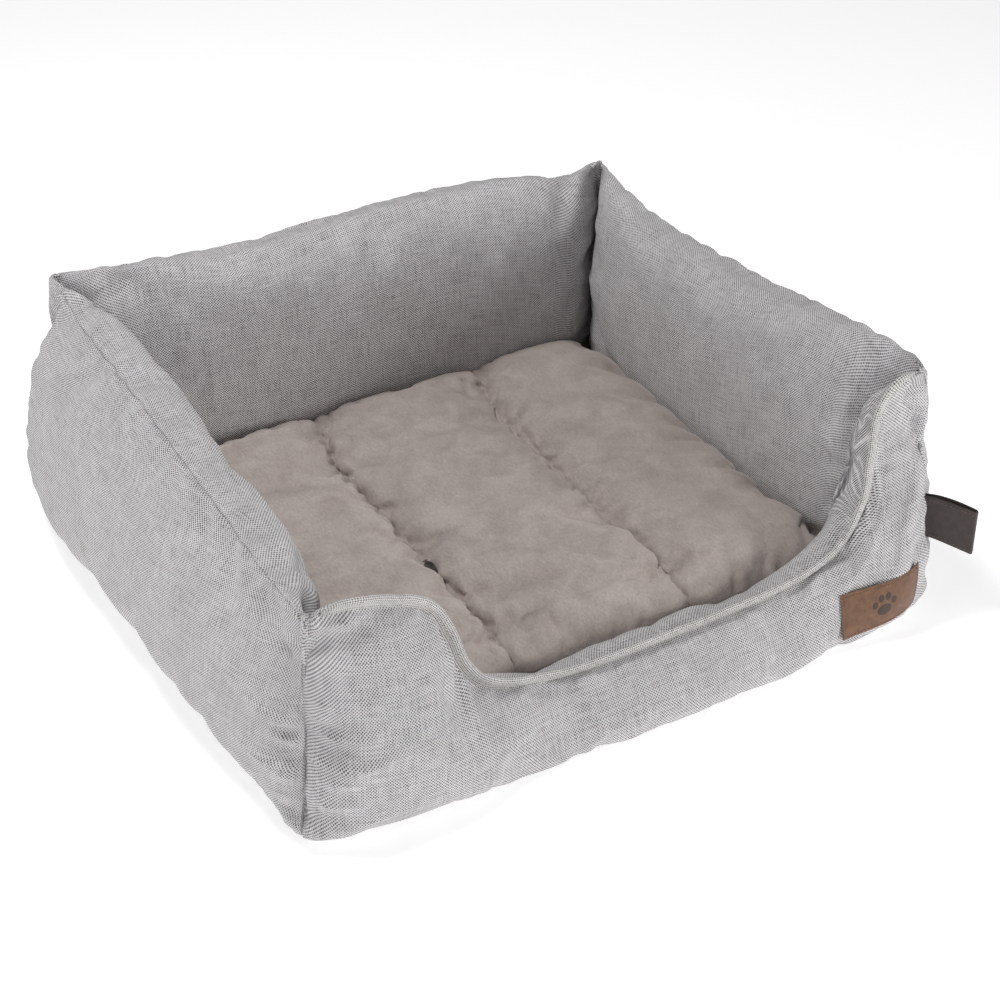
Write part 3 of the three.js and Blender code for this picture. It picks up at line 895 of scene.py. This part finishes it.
def resample(line, spacing, *others):
    """Reads a line, and what goes with its points, at even spacing."""
    run = run_along(line)
    reads = np.linspace(0, run[-1], max(2, round(run[-1] / spacing) + 1))
    sets = (line, *others)
    return [np.stack([np.interp(reads, run, side) for side in values.T], axis=1) for values in sets]


def eased(values, passes):
    """Evens out a line's values, keeping its ends."""
    for _ in range(passes):
        inner = (values[:-2] + 2 * values[1:-1] + values[2:]) / 4
        values = np.concatenate([values[:1], inner, values[-1:]])
    return values


def sweep(line, up, section):
    """Rings of the section, given as (across, up), set square to a line."""
    along = unit(np.gradient(line, axis=0))
    across = unit(np.cross(along, up))
    square = np.cross(across, along)
    return line[:, None] + section[None, :, 0:1] * across[:, None] + section[None, :, 1:2] * square[:, None]


THREAD_STEP = 0.25 * MM  # how finely a line of stitching is read


def stitches(name, line, normal, pitch, length, radius, body):
    """A row of thread stitches on a line: each dips into the work at both ends."""
    line, normal = resample(line, THREAD_STEP, normal)
    step = pitch / THREAD_STEP
    turn = np.linspace(0, 2 * math.pi, 6, endpoint=False)
    forms = []
    for start in np.arange(step / 2, len(line) - step, step):
        reads = np.linspace(start, start + length / THREAD_STEP, 5)
        spots = np.stack([np.interp(reads, np.arange(len(line)), side) for side in line.T], axis=1)
        raised = np.stack([np.interp(reads, np.arange(len(line)), side) for side in normal.T], axis=1)
        lift = np.array([-0.8, 0.3, 0.5, 0.3, -0.8])[:, None] * radius * 1.6
        thick = np.array([0.5, 1, 1, 1, 0.5])[:, None, None] * radius
        circle = np.stack([np.cos(turn), np.sin(turn)], axis=1)
        thread = spots + raised * lift
        rings = sweep(thread, raised, circle)
        forms.append(thread[:, None] + (rings - thread[:, None]) * thick)
    row = ring_object(name, forms)
    settle(row, body)
    print(name, len(forms), "stitches")
    return row


# %% Front welt
WELT_TALL = 12 * MM
WELT_THICK = 6 * MM
WELT_SUNK = 2.5 * MM
WELT_LEAN = 0.5  # outwards, as a share of its height
WELT_ENDS = 9 * MM
WELT_TAPER = 14 * MM
WELT_GROOVE = 4.2 * MM  # the stitched groove's height
WELT_STEP = 2.5 * MM


def welt_section():
    """A flat rib, seen end on, with a stitched groove on each face."""
    turn = np.linspace(0, 2 * math.pi, 22, endpoint=False) - math.pi / 2
    up = (0.5 + 0.5 * np.sin(turn)) * (WELT_TALL + WELT_SUNK) - WELT_SUNK
    groove = 1 - 0.42 * np.exp(-(((up - WELT_GROOVE) / (1.1 * MM)) ** 2))
    across = WELT_THICK / 2 * np.sign(np.cos(turn)) * np.abs(np.cos(turn)) ** 0.7 * groove
    return np.stack([across, up], axis=1)


def welt_path():
    """The front wall's seam and the way the welt stands on it: up or into the entry, leaning out."""
    seam = eased(to_bed("front", walls["front"][0])[:, FINE_SEAM], 8)
    outwards = np.array([0, -1.0, 0])
    along = unit(np.gradient(seam, axis=0) * [1, 0, 1])
    stand = unit(eased(np.cross(outwards, along), 10)) + WELT_LEAN * outwards
    line, stand = resample(seam, WELT_STEP, stand)
    cut = round(WELT_ENDS / WELT_STEP)
    return line[cut:-cut], unit(eased(stand, 8))[cut:-cut]


welt_line, welt_stand = welt_path()
section = welt_section()
waver = 1 + 0.07 * lumps(welt_line, 16 * MM, 61)[:, None, None]
welt_rings = sweep(welt_line, welt_stand, section)
welt_run = run_along(welt_line)
welt_end = np.minimum(welt_run, welt_run[-1] - welt_run)[:, None, None]
taper = 0.35 + 0.65 * smoothstep(welt_end, 0, WELT_TAPER)
welt_rings = welt_line[:, None] + (welt_rings - welt_line[:, None]) * waver * taper
section_run = np.cumsum(np.linalg.norm(np.diff(section, axis=0, prepend=section[:1]), axis=1))
welt_uv = np.stack(np.meshgrid(welt_run, section_run, indexing="ij"), axis=2)
welt = ring_object("front_welt_strip", [welt_rings], welt_uv)
settle(welt, "bed", "front_welt")
facing = -unit(np.cross(unit(np.gradient(welt_line, axis=0)), welt_stand))
facing = facing * np.sign(-facing[:, 1:2] + 1e-9)
stitch_line = welt_line + welt_stand * WELT_GROOVE + facing * WELT_THICK * 0.29
welt_stitches = stitches(
    "front_welt_stitches", stitch_line, facing, 4.4 * MM, 3.0 * MM, 0.32 * MM, "bed"
)

# %% [markdown]
# ## The handle loop
#
# A strap of soft leatherette is folded double and sewn into the front right corner, as a handle.
# Its two layers part a little along their length, so a dark slot shows between them.  The ribbon is
# bent in its own plane by its weight, and both edges are stitched.

# %% Handle loop
joints = {joint["name"]: joint for joint in frame["record"]["behaviour"]["joints"]}
STRAP_ROOT = np.array(joints["handle_swing"]["pos_m"])  # in the corner seam, at the strap's middle
STRAP_OUT = unit(np.array([1.0, -1.0, 0.0]))
STRAP_SIDE = unit(np.array([1.0, 1.0, 0.0]))
STRAP_LENGTH = 38 * MM
STRAP_WIDTH = 42 * MM
STRAP_LAYER = 1.7 * MM
STRAP_GAP = 2.4 * MM
STRAP_DROOP = 11 * MM
STRAP_SUNK = 10 * MM


def strap_spot(out, side, height):
    """A point of the strap, from its run outwards, its side and its place across the width."""
    share = np.clip(out / STRAP_LENGTH, 0, 1)
    level = height - STRAP_DROOP * share**1.3
    lean = side + 0.08 * height * share
    spot = out[..., None] * STRAP_OUT + lean[..., None] * STRAP_SIDE
    return STRAP_ROOT + (spot + level[..., None] * np.array([0, 0, 1]))


def strap_route():
    """The ribbon's middle line as (out, side): out along one layer, round the fold and back."""
    out = np.linspace(-STRAP_SUNK, STRAP_LENGTH - STRAP_GAP, 22)
    open_by = (STRAP_GAP + STRAP_LAYER) / 2 + 0.9 * MM * np.sin(np.pi * np.clip(out / STRAP_LENGTH, 0, 1))
    turn = np.linspace(-math.pi / 2, math.pi / 2, 9)[1:-1]
    fold = np.stack([out[-1] + open_by[-1] * np.cos(turn), open_by[-1] * np.sin(turn)], axis=1)
    there = np.stack([out, -open_by], axis=1)
    back = np.stack([out, open_by], axis=1)[::-1]
    return np.concatenate([there, fold, back])


route = strap_route()
across_strap = np.linspace(-0.5, 0.5, 15) * STRAP_WIDTH
strap_grid = strap_spot(route[:, None, 0] + 0 * across_strap, route[:, None, 1] + 0 * across_strap,
                        across_strap + 0 * route[:, :1])
strap_uv = np.stack(np.meshgrid(run_along(route), across_strap, indexing="ij"), axis=2)
strap = grid_object("handle_strap", strap_grid, strap_uv)
as_leather(strap, STRAP_LAYER, 0, 0.45 * MM)
settle(strap, "handle", "handle_loop")
strap_normal = grid_normals(strap_grid)
strap_normal = strap_normal * np.sign(np.sum(strap_normal[5, 7] * -STRAP_SIDE))
strap_stitches = []
for number, column in enumerate((1, -2), 1):
    facing = strap_normal[:, column]
    line = strap_grid[:, column] + facing * (STRAP_LAYER / 2 + 0.05 * MM)
    strap_stitches.append(stitches(
        f"handle_stitches_{number}", line, facing, 3.6 * MM, 2.5 * MM, 0.3 * MM, "handle"
    ))

# %% [markdown]
# ## The leather label
#
# A thin leather patch is sewn flat on the front wall near the right corner.  Leather is stiffer
# than cloth, so the patch takes the wall's broad curve and bridges its small wrinkles.  Its face is
# a broad curve fitted to rays cast at the puffed panel.  It carries a plain paw, drawn as low lenses
# whose edges catch the light as a pressed mark's do.

# %% Label patch
LABEL_WIDTH = 80 * MM
LABEL_TALL = 42 * MM
LABEL_THICK = 1.5 * MM
LABEL_TILT = 10 * MM  # how much higher its right end sits than its left
LABEL_STEP = 2 * MM
LABEL_CLEAR = 0.6 * MM
label_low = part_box("leather_label")[0]
LABEL_LEFT, LABEL_FOOT = label_low.x - 12 * MM, label_low.z - 1 * MM
front_mesh = panels["front", "outer"].data
front_cloth = BVHTree.FromPolygons(
    [vertex.co for vertex in front_mesh.vertices], [face.vertices for face in front_mesh.polygons]
)


def label_face():
    """The patch's outer face as a grid of points, one every LABEL_STEP."""
    a = np.linspace(0, 1, round(LABEL_WIDTH / LABEL_STEP) + 1)
    b = np.linspace(0, 1, round(LABEL_TALL / LABEL_STEP) + 1)
    x = LABEL_LEFT + LABEL_WIDTH * a[:, None] + 0 * b
    z = LABEL_FOOT + LABEL_TALL * b + LABEL_TILT * a[:, None]
    y = np.zeros_like(x)
    for spot in np.ndindex(x.shape):
        hit = front_cloth.ray_cast(Vector((x[spot], -0.5, z[spot])), Vector((0, 1, 0)))[0]
        y[spot] = hit.y if hit else -BED_DEPTH / 2
    u, v = np.meshgrid(a - 0.5, b - 0.5, indexing="ij")
    terms = np.stack([np.ones_like(u), u, v, u * u, u * v, v * v, u**3], axis=-1).reshape(-1, 7)
    broad = (terms @ np.linalg.lstsq(terms, y.ravel(), rcond=None)[0]).reshape(y.shape)
    return np.stack([x, broad - (broad - y).max() - LABEL_CLEAR, z], axis=2)


label_points = label_face()
label_normals = grid_normals(label_points)
label_normals = label_normals * -np.sign(label_normals[5, 5, 1])


def on_label(places, lift=0.0):
    """Points on the label's face, from places in metres from its lower left corner."""
    places = np.asarray(places) / LABEL_STEP
    low = np.clip(np.floor(places).astype(int), 0, np.array(label_points.shape[:2]) - 2)
    share = places - low
    found = 0
    for i in (0, 1):
        for j in (0, 1):
            weight = np.abs(1 - i - share[..., 0]) * np.abs(1 - j - share[..., 1])
            spot = (low[..., 0] + i, low[..., 1] + j)
            found = found + weight[..., None] * (label_points[spot] + lift * label_normals[spot])
    return found


label_flat = np.stack(np.meshgrid(np.arange(label_points.shape[0]), np.arange(label_points.shape[1]),
                                  indexing="ij"), axis=2) * LABEL_STEP
label = grid_object("label_leather_patch", label_points, label_flat)
as_leather(label, LABEL_THICK, -1, 0.35 * MM)
settle(label, "bed", "leather_label")
print("label", [round(side, 3) for side in label.dimensions])

# %% Label stitches and paw
STITCH_INSET = 2.6 * MM
# Each pad's place across and up from the patch's middle, its width and height, in millimetres.
PAW_PADS = [
    (0, -4.5, 13.5, 10.5),
    (-9.2, 2.2, 5.2, 7.0), (-3.4, 7.4, 5.2, 7.4), (3.4, 7.4, 5.2, 7.4), (9.2, 2.2, 5.2, 7.0),
]


def label_border():
    low, wide, tall = STITCH_INSET, LABEL_WIDTH - STITCH_INSET, LABEL_TALL - STITCH_INSET
    corners = np.array([(low, low), (wide, low), (wide, tall), (low, tall), (low, low)])
    return resample(corners, 1 * MM)[0]


def pad_rings(across, up, width, height):
    """A pad of the paw: a low lens that stands on the leather."""
    turn = np.linspace(0, 2 * math.pi, 28, endpoint=False)
    middle = np.array([LABEL_WIDTH / 2 + across * MM, LABEL_TALL / 2 + up * MM])
    rings = []
    for share, lift in ((1, -0.3), (1, 0.12), (0.93, 0.2), (0.5, 0.24), (0.06, 0.25)):
        outline = np.stack([width * np.cos(turn), height * np.sin(turn)], axis=1) * MM / 2 * share
        rings.append(on_label(middle + outline, lift * MM))
    return np.array(rings)


border = label_border()
border_points = on_label(border, 0.05 * MM)
border_normals = unit(on_label(border, 1.0) - on_label(border, 0.0))
label_stitches = stitches(
    "label_stitches", border_points, border_normals, 3.3 * MM, 2.2 * MM, 0.28 * MM, "bed"
)
paw = ring_object("label_paw_print", [pad_rings(*pad) for pad in PAW_PADS])
settle(paw, "bed")

# %% [markdown]
# ## Materials
#
# Every finish is worked out from nodes.  Colours are written as they look on a screen and turned to
# the linear values that the renderer needs.  Woven patterns read the pieces' UVs, which are real
# metres, so a thread has the same width on every panel.

# %% Colour and node helpers
def linear(code):
    """An sRGB hex colour as linear red, green, blue and alpha."""
    shown = [int(code[k:k + 2], 16) / 255 for k in (0, 2, 4)]
    return (*[c / 12.92 if c <= 0.04045 else ((c + 0.055) / 1.055) ** 2.4 for c in shown], 1)


def add(tree, kind, sockets=(), **settings):
    """A node with its settings, and with each socket set to a value or linked to an output."""
    node = tree.nodes.new(kind)
    for key, value in settings.items():
        setattr(node, key, value)
    for socket, value in dict(sockets).items():
        if isinstance(value, bpy.types.NodeSocket):
            tree.links.new(value, node.inputs[socket])
        else:
            node.inputs[socket].default_value = value
    return node


def new_finish(name, **sockets):
    """A material with a plain Principled shader; returns it with its tree and shader."""
    finish = bpy.data.materials.new(name)
    finish.use_nodes = True
    tree = finish.node_tree
    tree.nodes.clear()
    shader = add(tree, "ShaderNodeBsdfPrincipled", {key.replace("_", " "): v for key, v in sockets.items()})
    add(tree, "ShaderNodeOutputMaterial", {"Surface": shader.outputs["BSDF"]})
    return finish, tree, shader


def feed(shader, colour, relief=None):
    """Links a colour, and a bump where there is one, to the shader."""
    links = shader.id_data.links
    links.new(colour, shader.inputs["Base Color"])
    if relief is not None:
        links.new(relief.outputs[0], shader.inputs["Normal"])


def put_on(finish, *pieces):
    for piece in pieces:
        piece.data.materials.clear()
        piece.data.materials.append(finish)
    print(finish.name, "on", len(pieces), "pieces")


# %% [markdown]
# ### Woven cloth
#
# The walls are a coarse plain weave of spun polyester, ecru yarn crossed by taupe yarn.  Seen close
# it is rows of small light ovals with dark dots between them.  Two sine waves multiplied together
# give the over-and-under of a plain weave.  Stretched noise along both yarns gives their slubs.

# %% Woven cloth
THREAD_REPEAT = 2.6 * MM  # one thread over and the next under; a little coarse, so that it shows
THREAD_DRIFT = 0.5 * MM  # how far the threads wander from straight
YARN_RELIEF = 0.35 * MM


def weave_nodes(tree, repeat, turn=0.0):
    """Returns the weave's height, from -1 to 1, the thread-scaled place and the place in metres."""
    place = add(tree, "ShaderNodeUVMap", uv_map="cloth").outputs["UV"]
    drift = add(tree, "ShaderNodeTexNoise", {"Vector": place, "Scale": 1 / (14 * MM), "Detail": 1.0})
    shifted = add(tree, "ShaderNodeVectorMath", {0: drift.outputs["Color"], 1: (-0.5, -0.5, 0)},
                  operation="ADD")
    amount = (THREAD_DRIFT, THREAD_DRIFT, 0)
    moved = add(tree, "ShaderNodeVectorMath", {0: shifted.outputs[0], 1: amount, 2: place},
                operation="MULTIPLY_ADD")
    threads = add(tree, "ShaderNodeMapping",
                  {"Vector": moved.outputs[0], "Rotation": (0, 0, turn), "Scale": (1 / repeat,) * 3})
    split = add(tree, "ShaderNodeSeparateXYZ", {0: threads.outputs[0]})
    waves = []
    for axis in ("X", "Y"):
        angle = add(tree, "ShaderNodeMath", {0: split.outputs[axis], 1: 2 * math.pi}, operation="MULTIPLY")
        waves.append(add(tree, "ShaderNodeMath", {0: angle.outputs[0]}, operation="SINE").outputs[0])
    height = add(tree, "ShaderNodeMath", {0: waves[0], 1: waves[1]}, operation="MULTIPLY")
    return height.outputs[0], threads.outputs[0], place


def woven_finish(name, light, dark, turn=0.0):
    finish, tree, shader = new_finish(name, Roughness=0.88, Sheen_Weight=0.12, Sheen_Roughness=0.6)
    height, threads, place = weave_nodes(tree, THREAD_REPEAT, turn)
    slubs = []
    for stretch in ((0.12, 1.6, 1), (1.6, 0.12, 1)):
        along = add(tree, "ShaderNodeMapping", {"Vector": threads, "Scale": stretch})
        noisy = {"Vector": along.outputs[0], "Scale": 1.0, "Detail": 1.0}
        slubs.append(add(tree, "ShaderNodeTexNoise", noisy).outputs["Fac"])
    slub = add(tree, "ShaderNodeMath", {0: slubs[0], 1: slubs[1]}, operation="ADD")
    uneven = add(tree, "ShaderNodeMath", {0: slub.outputs[0], 1: 0.8, 2: -0.8}, operation="MULTIPLY_ADD")
    level = add(tree, "ShaderNodeMath", {0: height, 1: uneven.outputs[0]}, operation="ADD")
    share = add(tree, "ShaderNodeMapRange",
                {"Value": level.outputs[0], "From Min": -0.62, "From Max": 0.12},
                interpolation_type="SMOOTHSTEP")
    yarn = add(tree, "ShaderNodeMix", {"Factor": share.outputs[0], 6: linear(dark), 7: linear(light)},
               data_type="RGBA")
    cloud = add(tree, "ShaderNodeTexNoise", {"Vector": place, "Scale": 1 / (45 * MM), "Detail": 3.0})
    tone = add(tree, "ShaderNodeMapRange", {"Value": cloud.outputs["Fac"], "From Min": 0.3, "From Max": 0.7,
                                            "To Min": 0.93, "To Max": 1.05})
    shaded = add(tree, "ShaderNodeVectorMath", {0: yarn.outputs[2], "Scale": tone.outputs[0]},
                 operation="SCALE")
    relief = add(tree, "ShaderNodeBump",
                 {"Height": level.outputs[0], "Distance": YARN_RELIEF, "Strength": 0.8})
    feed(shader, shaded.outputs[0], relief)
    return finish


woven_cloth = woven_finish("woven_polyester", "e0dee0", "4b4644")
welt_cloth = woven_finish("woven_polyester_bias", "e2dfde", "4b4644", turn=math.pi / 4)
put_on(woven_cloth, lining, cushion_base, *panels.values())
put_on(welt_cloth, welt)


# %% [markdown]
# ### Plush
#
# The cushion's top is a short-pile polyester plush, brushed and sheared.  Its pile lies over in
# patches.  How those patches catch the light is painted into the colour as soft lighter and darker
# mottling, which is painted sheen, with a faint real sheen on top.  The pile tips give a fine grain.

# %% Plush
# The plush's lighter and darker patches are painted sheen set into its colour; this is their size.
PLUSH_SHEEN_PATCH = 26 * MM  # how large the patches are where the pile lies one way
PILE_CURL = 6 * MM
PILE_TIP = 1.7 * MM


def plush_finish():
    finish, tree, shader = new_finish(
        "sheared_plush", Roughness=0.95, Sheen_Weight=0.55, Sheen_Roughness=0.45, Sheen_Tint=linear("efe6df")
    )
    place = add(tree, "ShaderNodeTexCoord").outputs["Object"]
    # Painted sheen: noise mixes a darker and a lighter plush colour in patches, in place of the light that
    # the lying pile catches.
    sheen_patches = add(tree, "ShaderNodeTexNoise", {"Vector": place, "Scale": 1 / PLUSH_SHEEN_PATCH, "Detail": 4.0,
                                               "Roughness": 0.5, "Distortion": 0.6})
    lying = add(tree, "ShaderNodeMapping",
                {"Vector": place, "Rotation": (0, 0, 0.5), "Scale": (1, 0.45, 1)}).outputs[0]
    pile = add(tree, "ShaderNodeTexNoise", {"Vector": lying, "Scale": 1 / PILE_TIP, "Detail": 2.0})
    curls = add(tree, "ShaderNodeTexNoise", {"Vector": lying, "Scale": 1 / PILE_CURL, "Detail": 2.0})
    soft = add(tree, "ShaderNodeMapRange",
               {"Value": sheen_patches.outputs["Fac"], "From Min": 0.32, "From Max": 0.68})
    base = add(tree, "ShaderNodeMix",
               {"Factor": soft.outputs[0], 6: linear("a79b95"), 7: linear("b9aea8")}, data_type="RGBA")
    grain = add(tree, "ShaderNodeMapRange", {"Value": pile.outputs["Fac"], "From Min": 0.25,
                                             "From Max": 0.75, "To Min": 0.86, "To Max": 1.1})
    shaded = add(tree, "ShaderNodeVectorMath", {0: base.outputs[2], "Scale": grain.outputs[0]},
                 operation="SCALE")
    coarse = add(tree, "ShaderNodeBump",
                 {"Height": curls.outputs["Fac"], "Distance": 1.6 * MM, "Strength": 0.5})
    fine = add(tree, "ShaderNodeBump", {"Height": pile.outputs["Fac"], "Distance": 0.6 * MM,
                                        "Strength": 0.6, "Normal": coarse.outputs[0]})
    feed(shader, shaded.outputs[0], fine)
    return finish


put_on(plush_finish(), plush_cover)


# %% [markdown]
# ### Leather and leatherette
#
# The label is a split leather, sueded and warm brown, with a paw darkened by heat.  The handle is a
# soft grained leatherette, nearly black-brown with a dull shine on its raised grain.

# %% Leather
def leather_finish(name, dark, light, grain, rough, shine, bump):
    finish, tree, shader = new_finish(name, Roughness=rough, IOR=1.5, Sheen_Weight=shine)
    place = add(tree, "ShaderNodeTexCoord").outputs["Object"]
    cells = add(tree, "ShaderNodeTexVoronoi", {"Vector": place, "Scale": 1 / grain}, feature="SMOOTH_F1")
    cloud = add(tree, "ShaderNodeTexNoise", {"Vector": place, "Scale": 1 / (7 * MM), "Detail": 5.0,
                                             "Roughness": 0.65})
    spread = add(tree, "ShaderNodeMapRange",
                 {"Value": cloud.outputs["Fac"], "From Min": 0.3, "From Max": 0.7})
    colour = add(tree, "ShaderNodeMix", {"Factor": spread.outputs[0], 6: linear(dark), 7: linear(light)},
                 data_type="RGBA")
    relief = add(tree, "ShaderNodeBump",
                 {"Height": cells.outputs["Distance"], "Distance": bump, "Strength": 0.5})
    feed(shader, colour.outputs[2], relief)
    return finish


put_on(leather_finish("sueded_split_leather", "634534", "7f5c45", 0.9 * MM, 0.8, 0.25, 0.3 * MM), label)
put_on(leather_finish("heat_pressed_leather", "3c2d26", "4c3a31", 0.9 * MM, 0.6, 0.05, 0.2 * MM), paw)
put_on(leather_finish("grained_leatherette", "2d2221", "3d302e", 1.1 * MM, 0.55, 0.1, 0.35 * MM), strap)


# %% [markdown]
# ### Thread, base cloth and fibre
#
# The stitching is spun polyester thread, twisted, so a stitch shows slanting ply lines.  The base is
# a dense black-grey cloth with printed grip dots.  The fibre is white and cloudy.

# %% Thread
def thread_finish(name, light, dark):
    finish, tree, shader = new_finish(name, Roughness=0.65, Sheen_Weight=0.2)
    place = add(tree, "ShaderNodeTexCoord").outputs["Object"]
    ply = add(tree, "ShaderNodeTexWave", {"Vector": place, "Scale": 1 / (1.6 * MM), "Distortion": 1.0},
              bands_direction="DIAGONAL")
    colour = add(tree, "ShaderNodeMix", {"Factor": ply.outputs["Fac"], 6: linear(dark), 7: linear(light)},
                 data_type="RGBA")
    feed(shader, colour.outputs[2])
    return finish


put_on(thread_finish("ecru_thread", "d6d1cc", "a9a39e"), welt_stitches)
put_on(thread_finish("brown_thread", "6b4a35", "4b3325"), label_stitches)
put_on(thread_finish("dark_thread", "7d6b66", "4d403d"), *strap_stitches)

# %% Base cloth and fibre
DOT_PITCH = 9 * MM
BASE_REPEAT = 1.2 * MM  # the base cloth's threads


def base_finish():
    finish, tree, shader = new_finish("grip_dot_base_cloth", Roughness=0.8)
    height, _, place = weave_nodes(tree, BASE_REPEAT)
    dots = add(tree, "ShaderNodeTexVoronoi", {"Vector": place, "Scale": 1 / DOT_PITCH, "Randomness": 0.0})
    dot = add(tree, "ShaderNodeMath", {0: dots.outputs["Distance"], 1: 0.2}, operation="LESS_THAN")
    cloth = add(tree, "ShaderNodeMix", {"Factor": height, 6: linear("3d3c3e"), 7: linear("565558")},
                data_type="RGBA")
    colour = add(tree, "ShaderNodeMix",
                 {"Factor": dot.outputs[0], 6: cloth.outputs[2], 7: linear("232325")}, data_type="RGBA")
    relief = add(tree, "ShaderNodeBump", {"Height": dot.outputs[0], "Distance": 0.5 * MM, "Strength": 0.7})
    feed(shader, colour.outputs[2], relief)
    return finish


def fibre_finish():
    finish, tree, shader = new_finish("hollow_polyester_fibre", Roughness=0.95, Sheen_Weight=0.4)
    place = add(tree, "ShaderNodeTexCoord").outputs["Object"]
    tangle = add(tree, "ShaderNodeTexNoise", {"Vector": place, "Scale": 1 / (4 * MM), "Detail": 5.0,
                                              "Distortion": 1.5}).outputs["Fac"]
    colour = add(tree, "ShaderNodeMix", {"Factor": tangle, 6: linear("d9d9d8"), 7: linear("f4f4f2")},
                 data_type="RGBA")
    relief = add(tree, "ShaderNodeBump", {"Height": tangle, "Distance": 2 * MM, "Strength": 0.7})
    feed(shader, colour.outputs[2], relief)
    return finish


put_on(base_finish(), base_sheet)
put_on(fibre_finish(), wadding, *wall_fibre, *cushion_fibre)

# %% [markdown]
# ## Studio
#
# The bed stands on a plain white floor under soft lights, so that the cloth's own texture carries
# the picture.  The strongest softbox stands at the front right, a weaker one on the left keeps the
# left wall from going flat, a small one above lights the nest, and the white world opens the
# shadows.  The floor glows a little and runs far out, so its edge never shows behind the bed.

# %% Studio
FLOOR_HALF = 30.0
FLOOR_GLOW = 0.45
WORLD_LIGHT = 0.24
# Each softbox's place, what it is aimed at, its side in metres and its power in watts.
SOFTBOXES = {
    "softbox_left": ((-2.0, -0.7, 0.8), (0, 0, 0.1), 0.8, 8),
    "softbox_front": ((1.3, -1.9, 0.6), (0, 0, 0.1), 0.8, 22),
    "softbox_top": ((-0.5, 0.3, 2.0), (0, 0, 0), 0.45, 19),
}


def softbox(name, place, aim, side, power):
    data = bpy.data.lights.new(name, "AREA")
    data.shape = "SQUARE"
    data.size = side
    data.energy = power
    lamp = bpy.data.objects.new(name, data)
    lamp.location = place
    lamp.rotation_euler = (Vector(aim) - Vector(place)).to_track_quat("-Z", "Y").to_euler()
    bpy.context.scene.collection.objects.link(lamp)


def white_world():
    world = bpy.data.worlds.new("white_studio")
    bpy.context.scene.world = world
    world.use_nodes = True
    background = world.node_tree.nodes["Background"]
    background.inputs["Color"].default_value = linear("ffffff")
    background.inputs["Strength"].default_value = WORLD_LIGHT


floor_corners = [(x * FLOOR_HALF, y * FLOOR_HALF, 0) for x, y in ((-1, -1), (1, -1), (1, 1), (-1, 1))]
studio_floor = new_object("studio_floor", floor_corners, [(0, 1, 2, 3)])
white_floor = new_finish(
    "lit_white_floor", Roughness=0.9, Base_Color=linear("fbfbfb"),
    Emission_Color=linear("ffffff"), Emission_Strength=FLOOR_GLOW,
)[0]
put_on(white_floor, studio_floor)
for name, settings in SOFTBOXES.items():
    softbox(name, *settings)
white_world()
bpy.context.scene.view_settings.view_transform = "Standard"
print(len(SOFTBOXES), "softboxes over a floor", 2 * FLOOR_HALF, "m across")
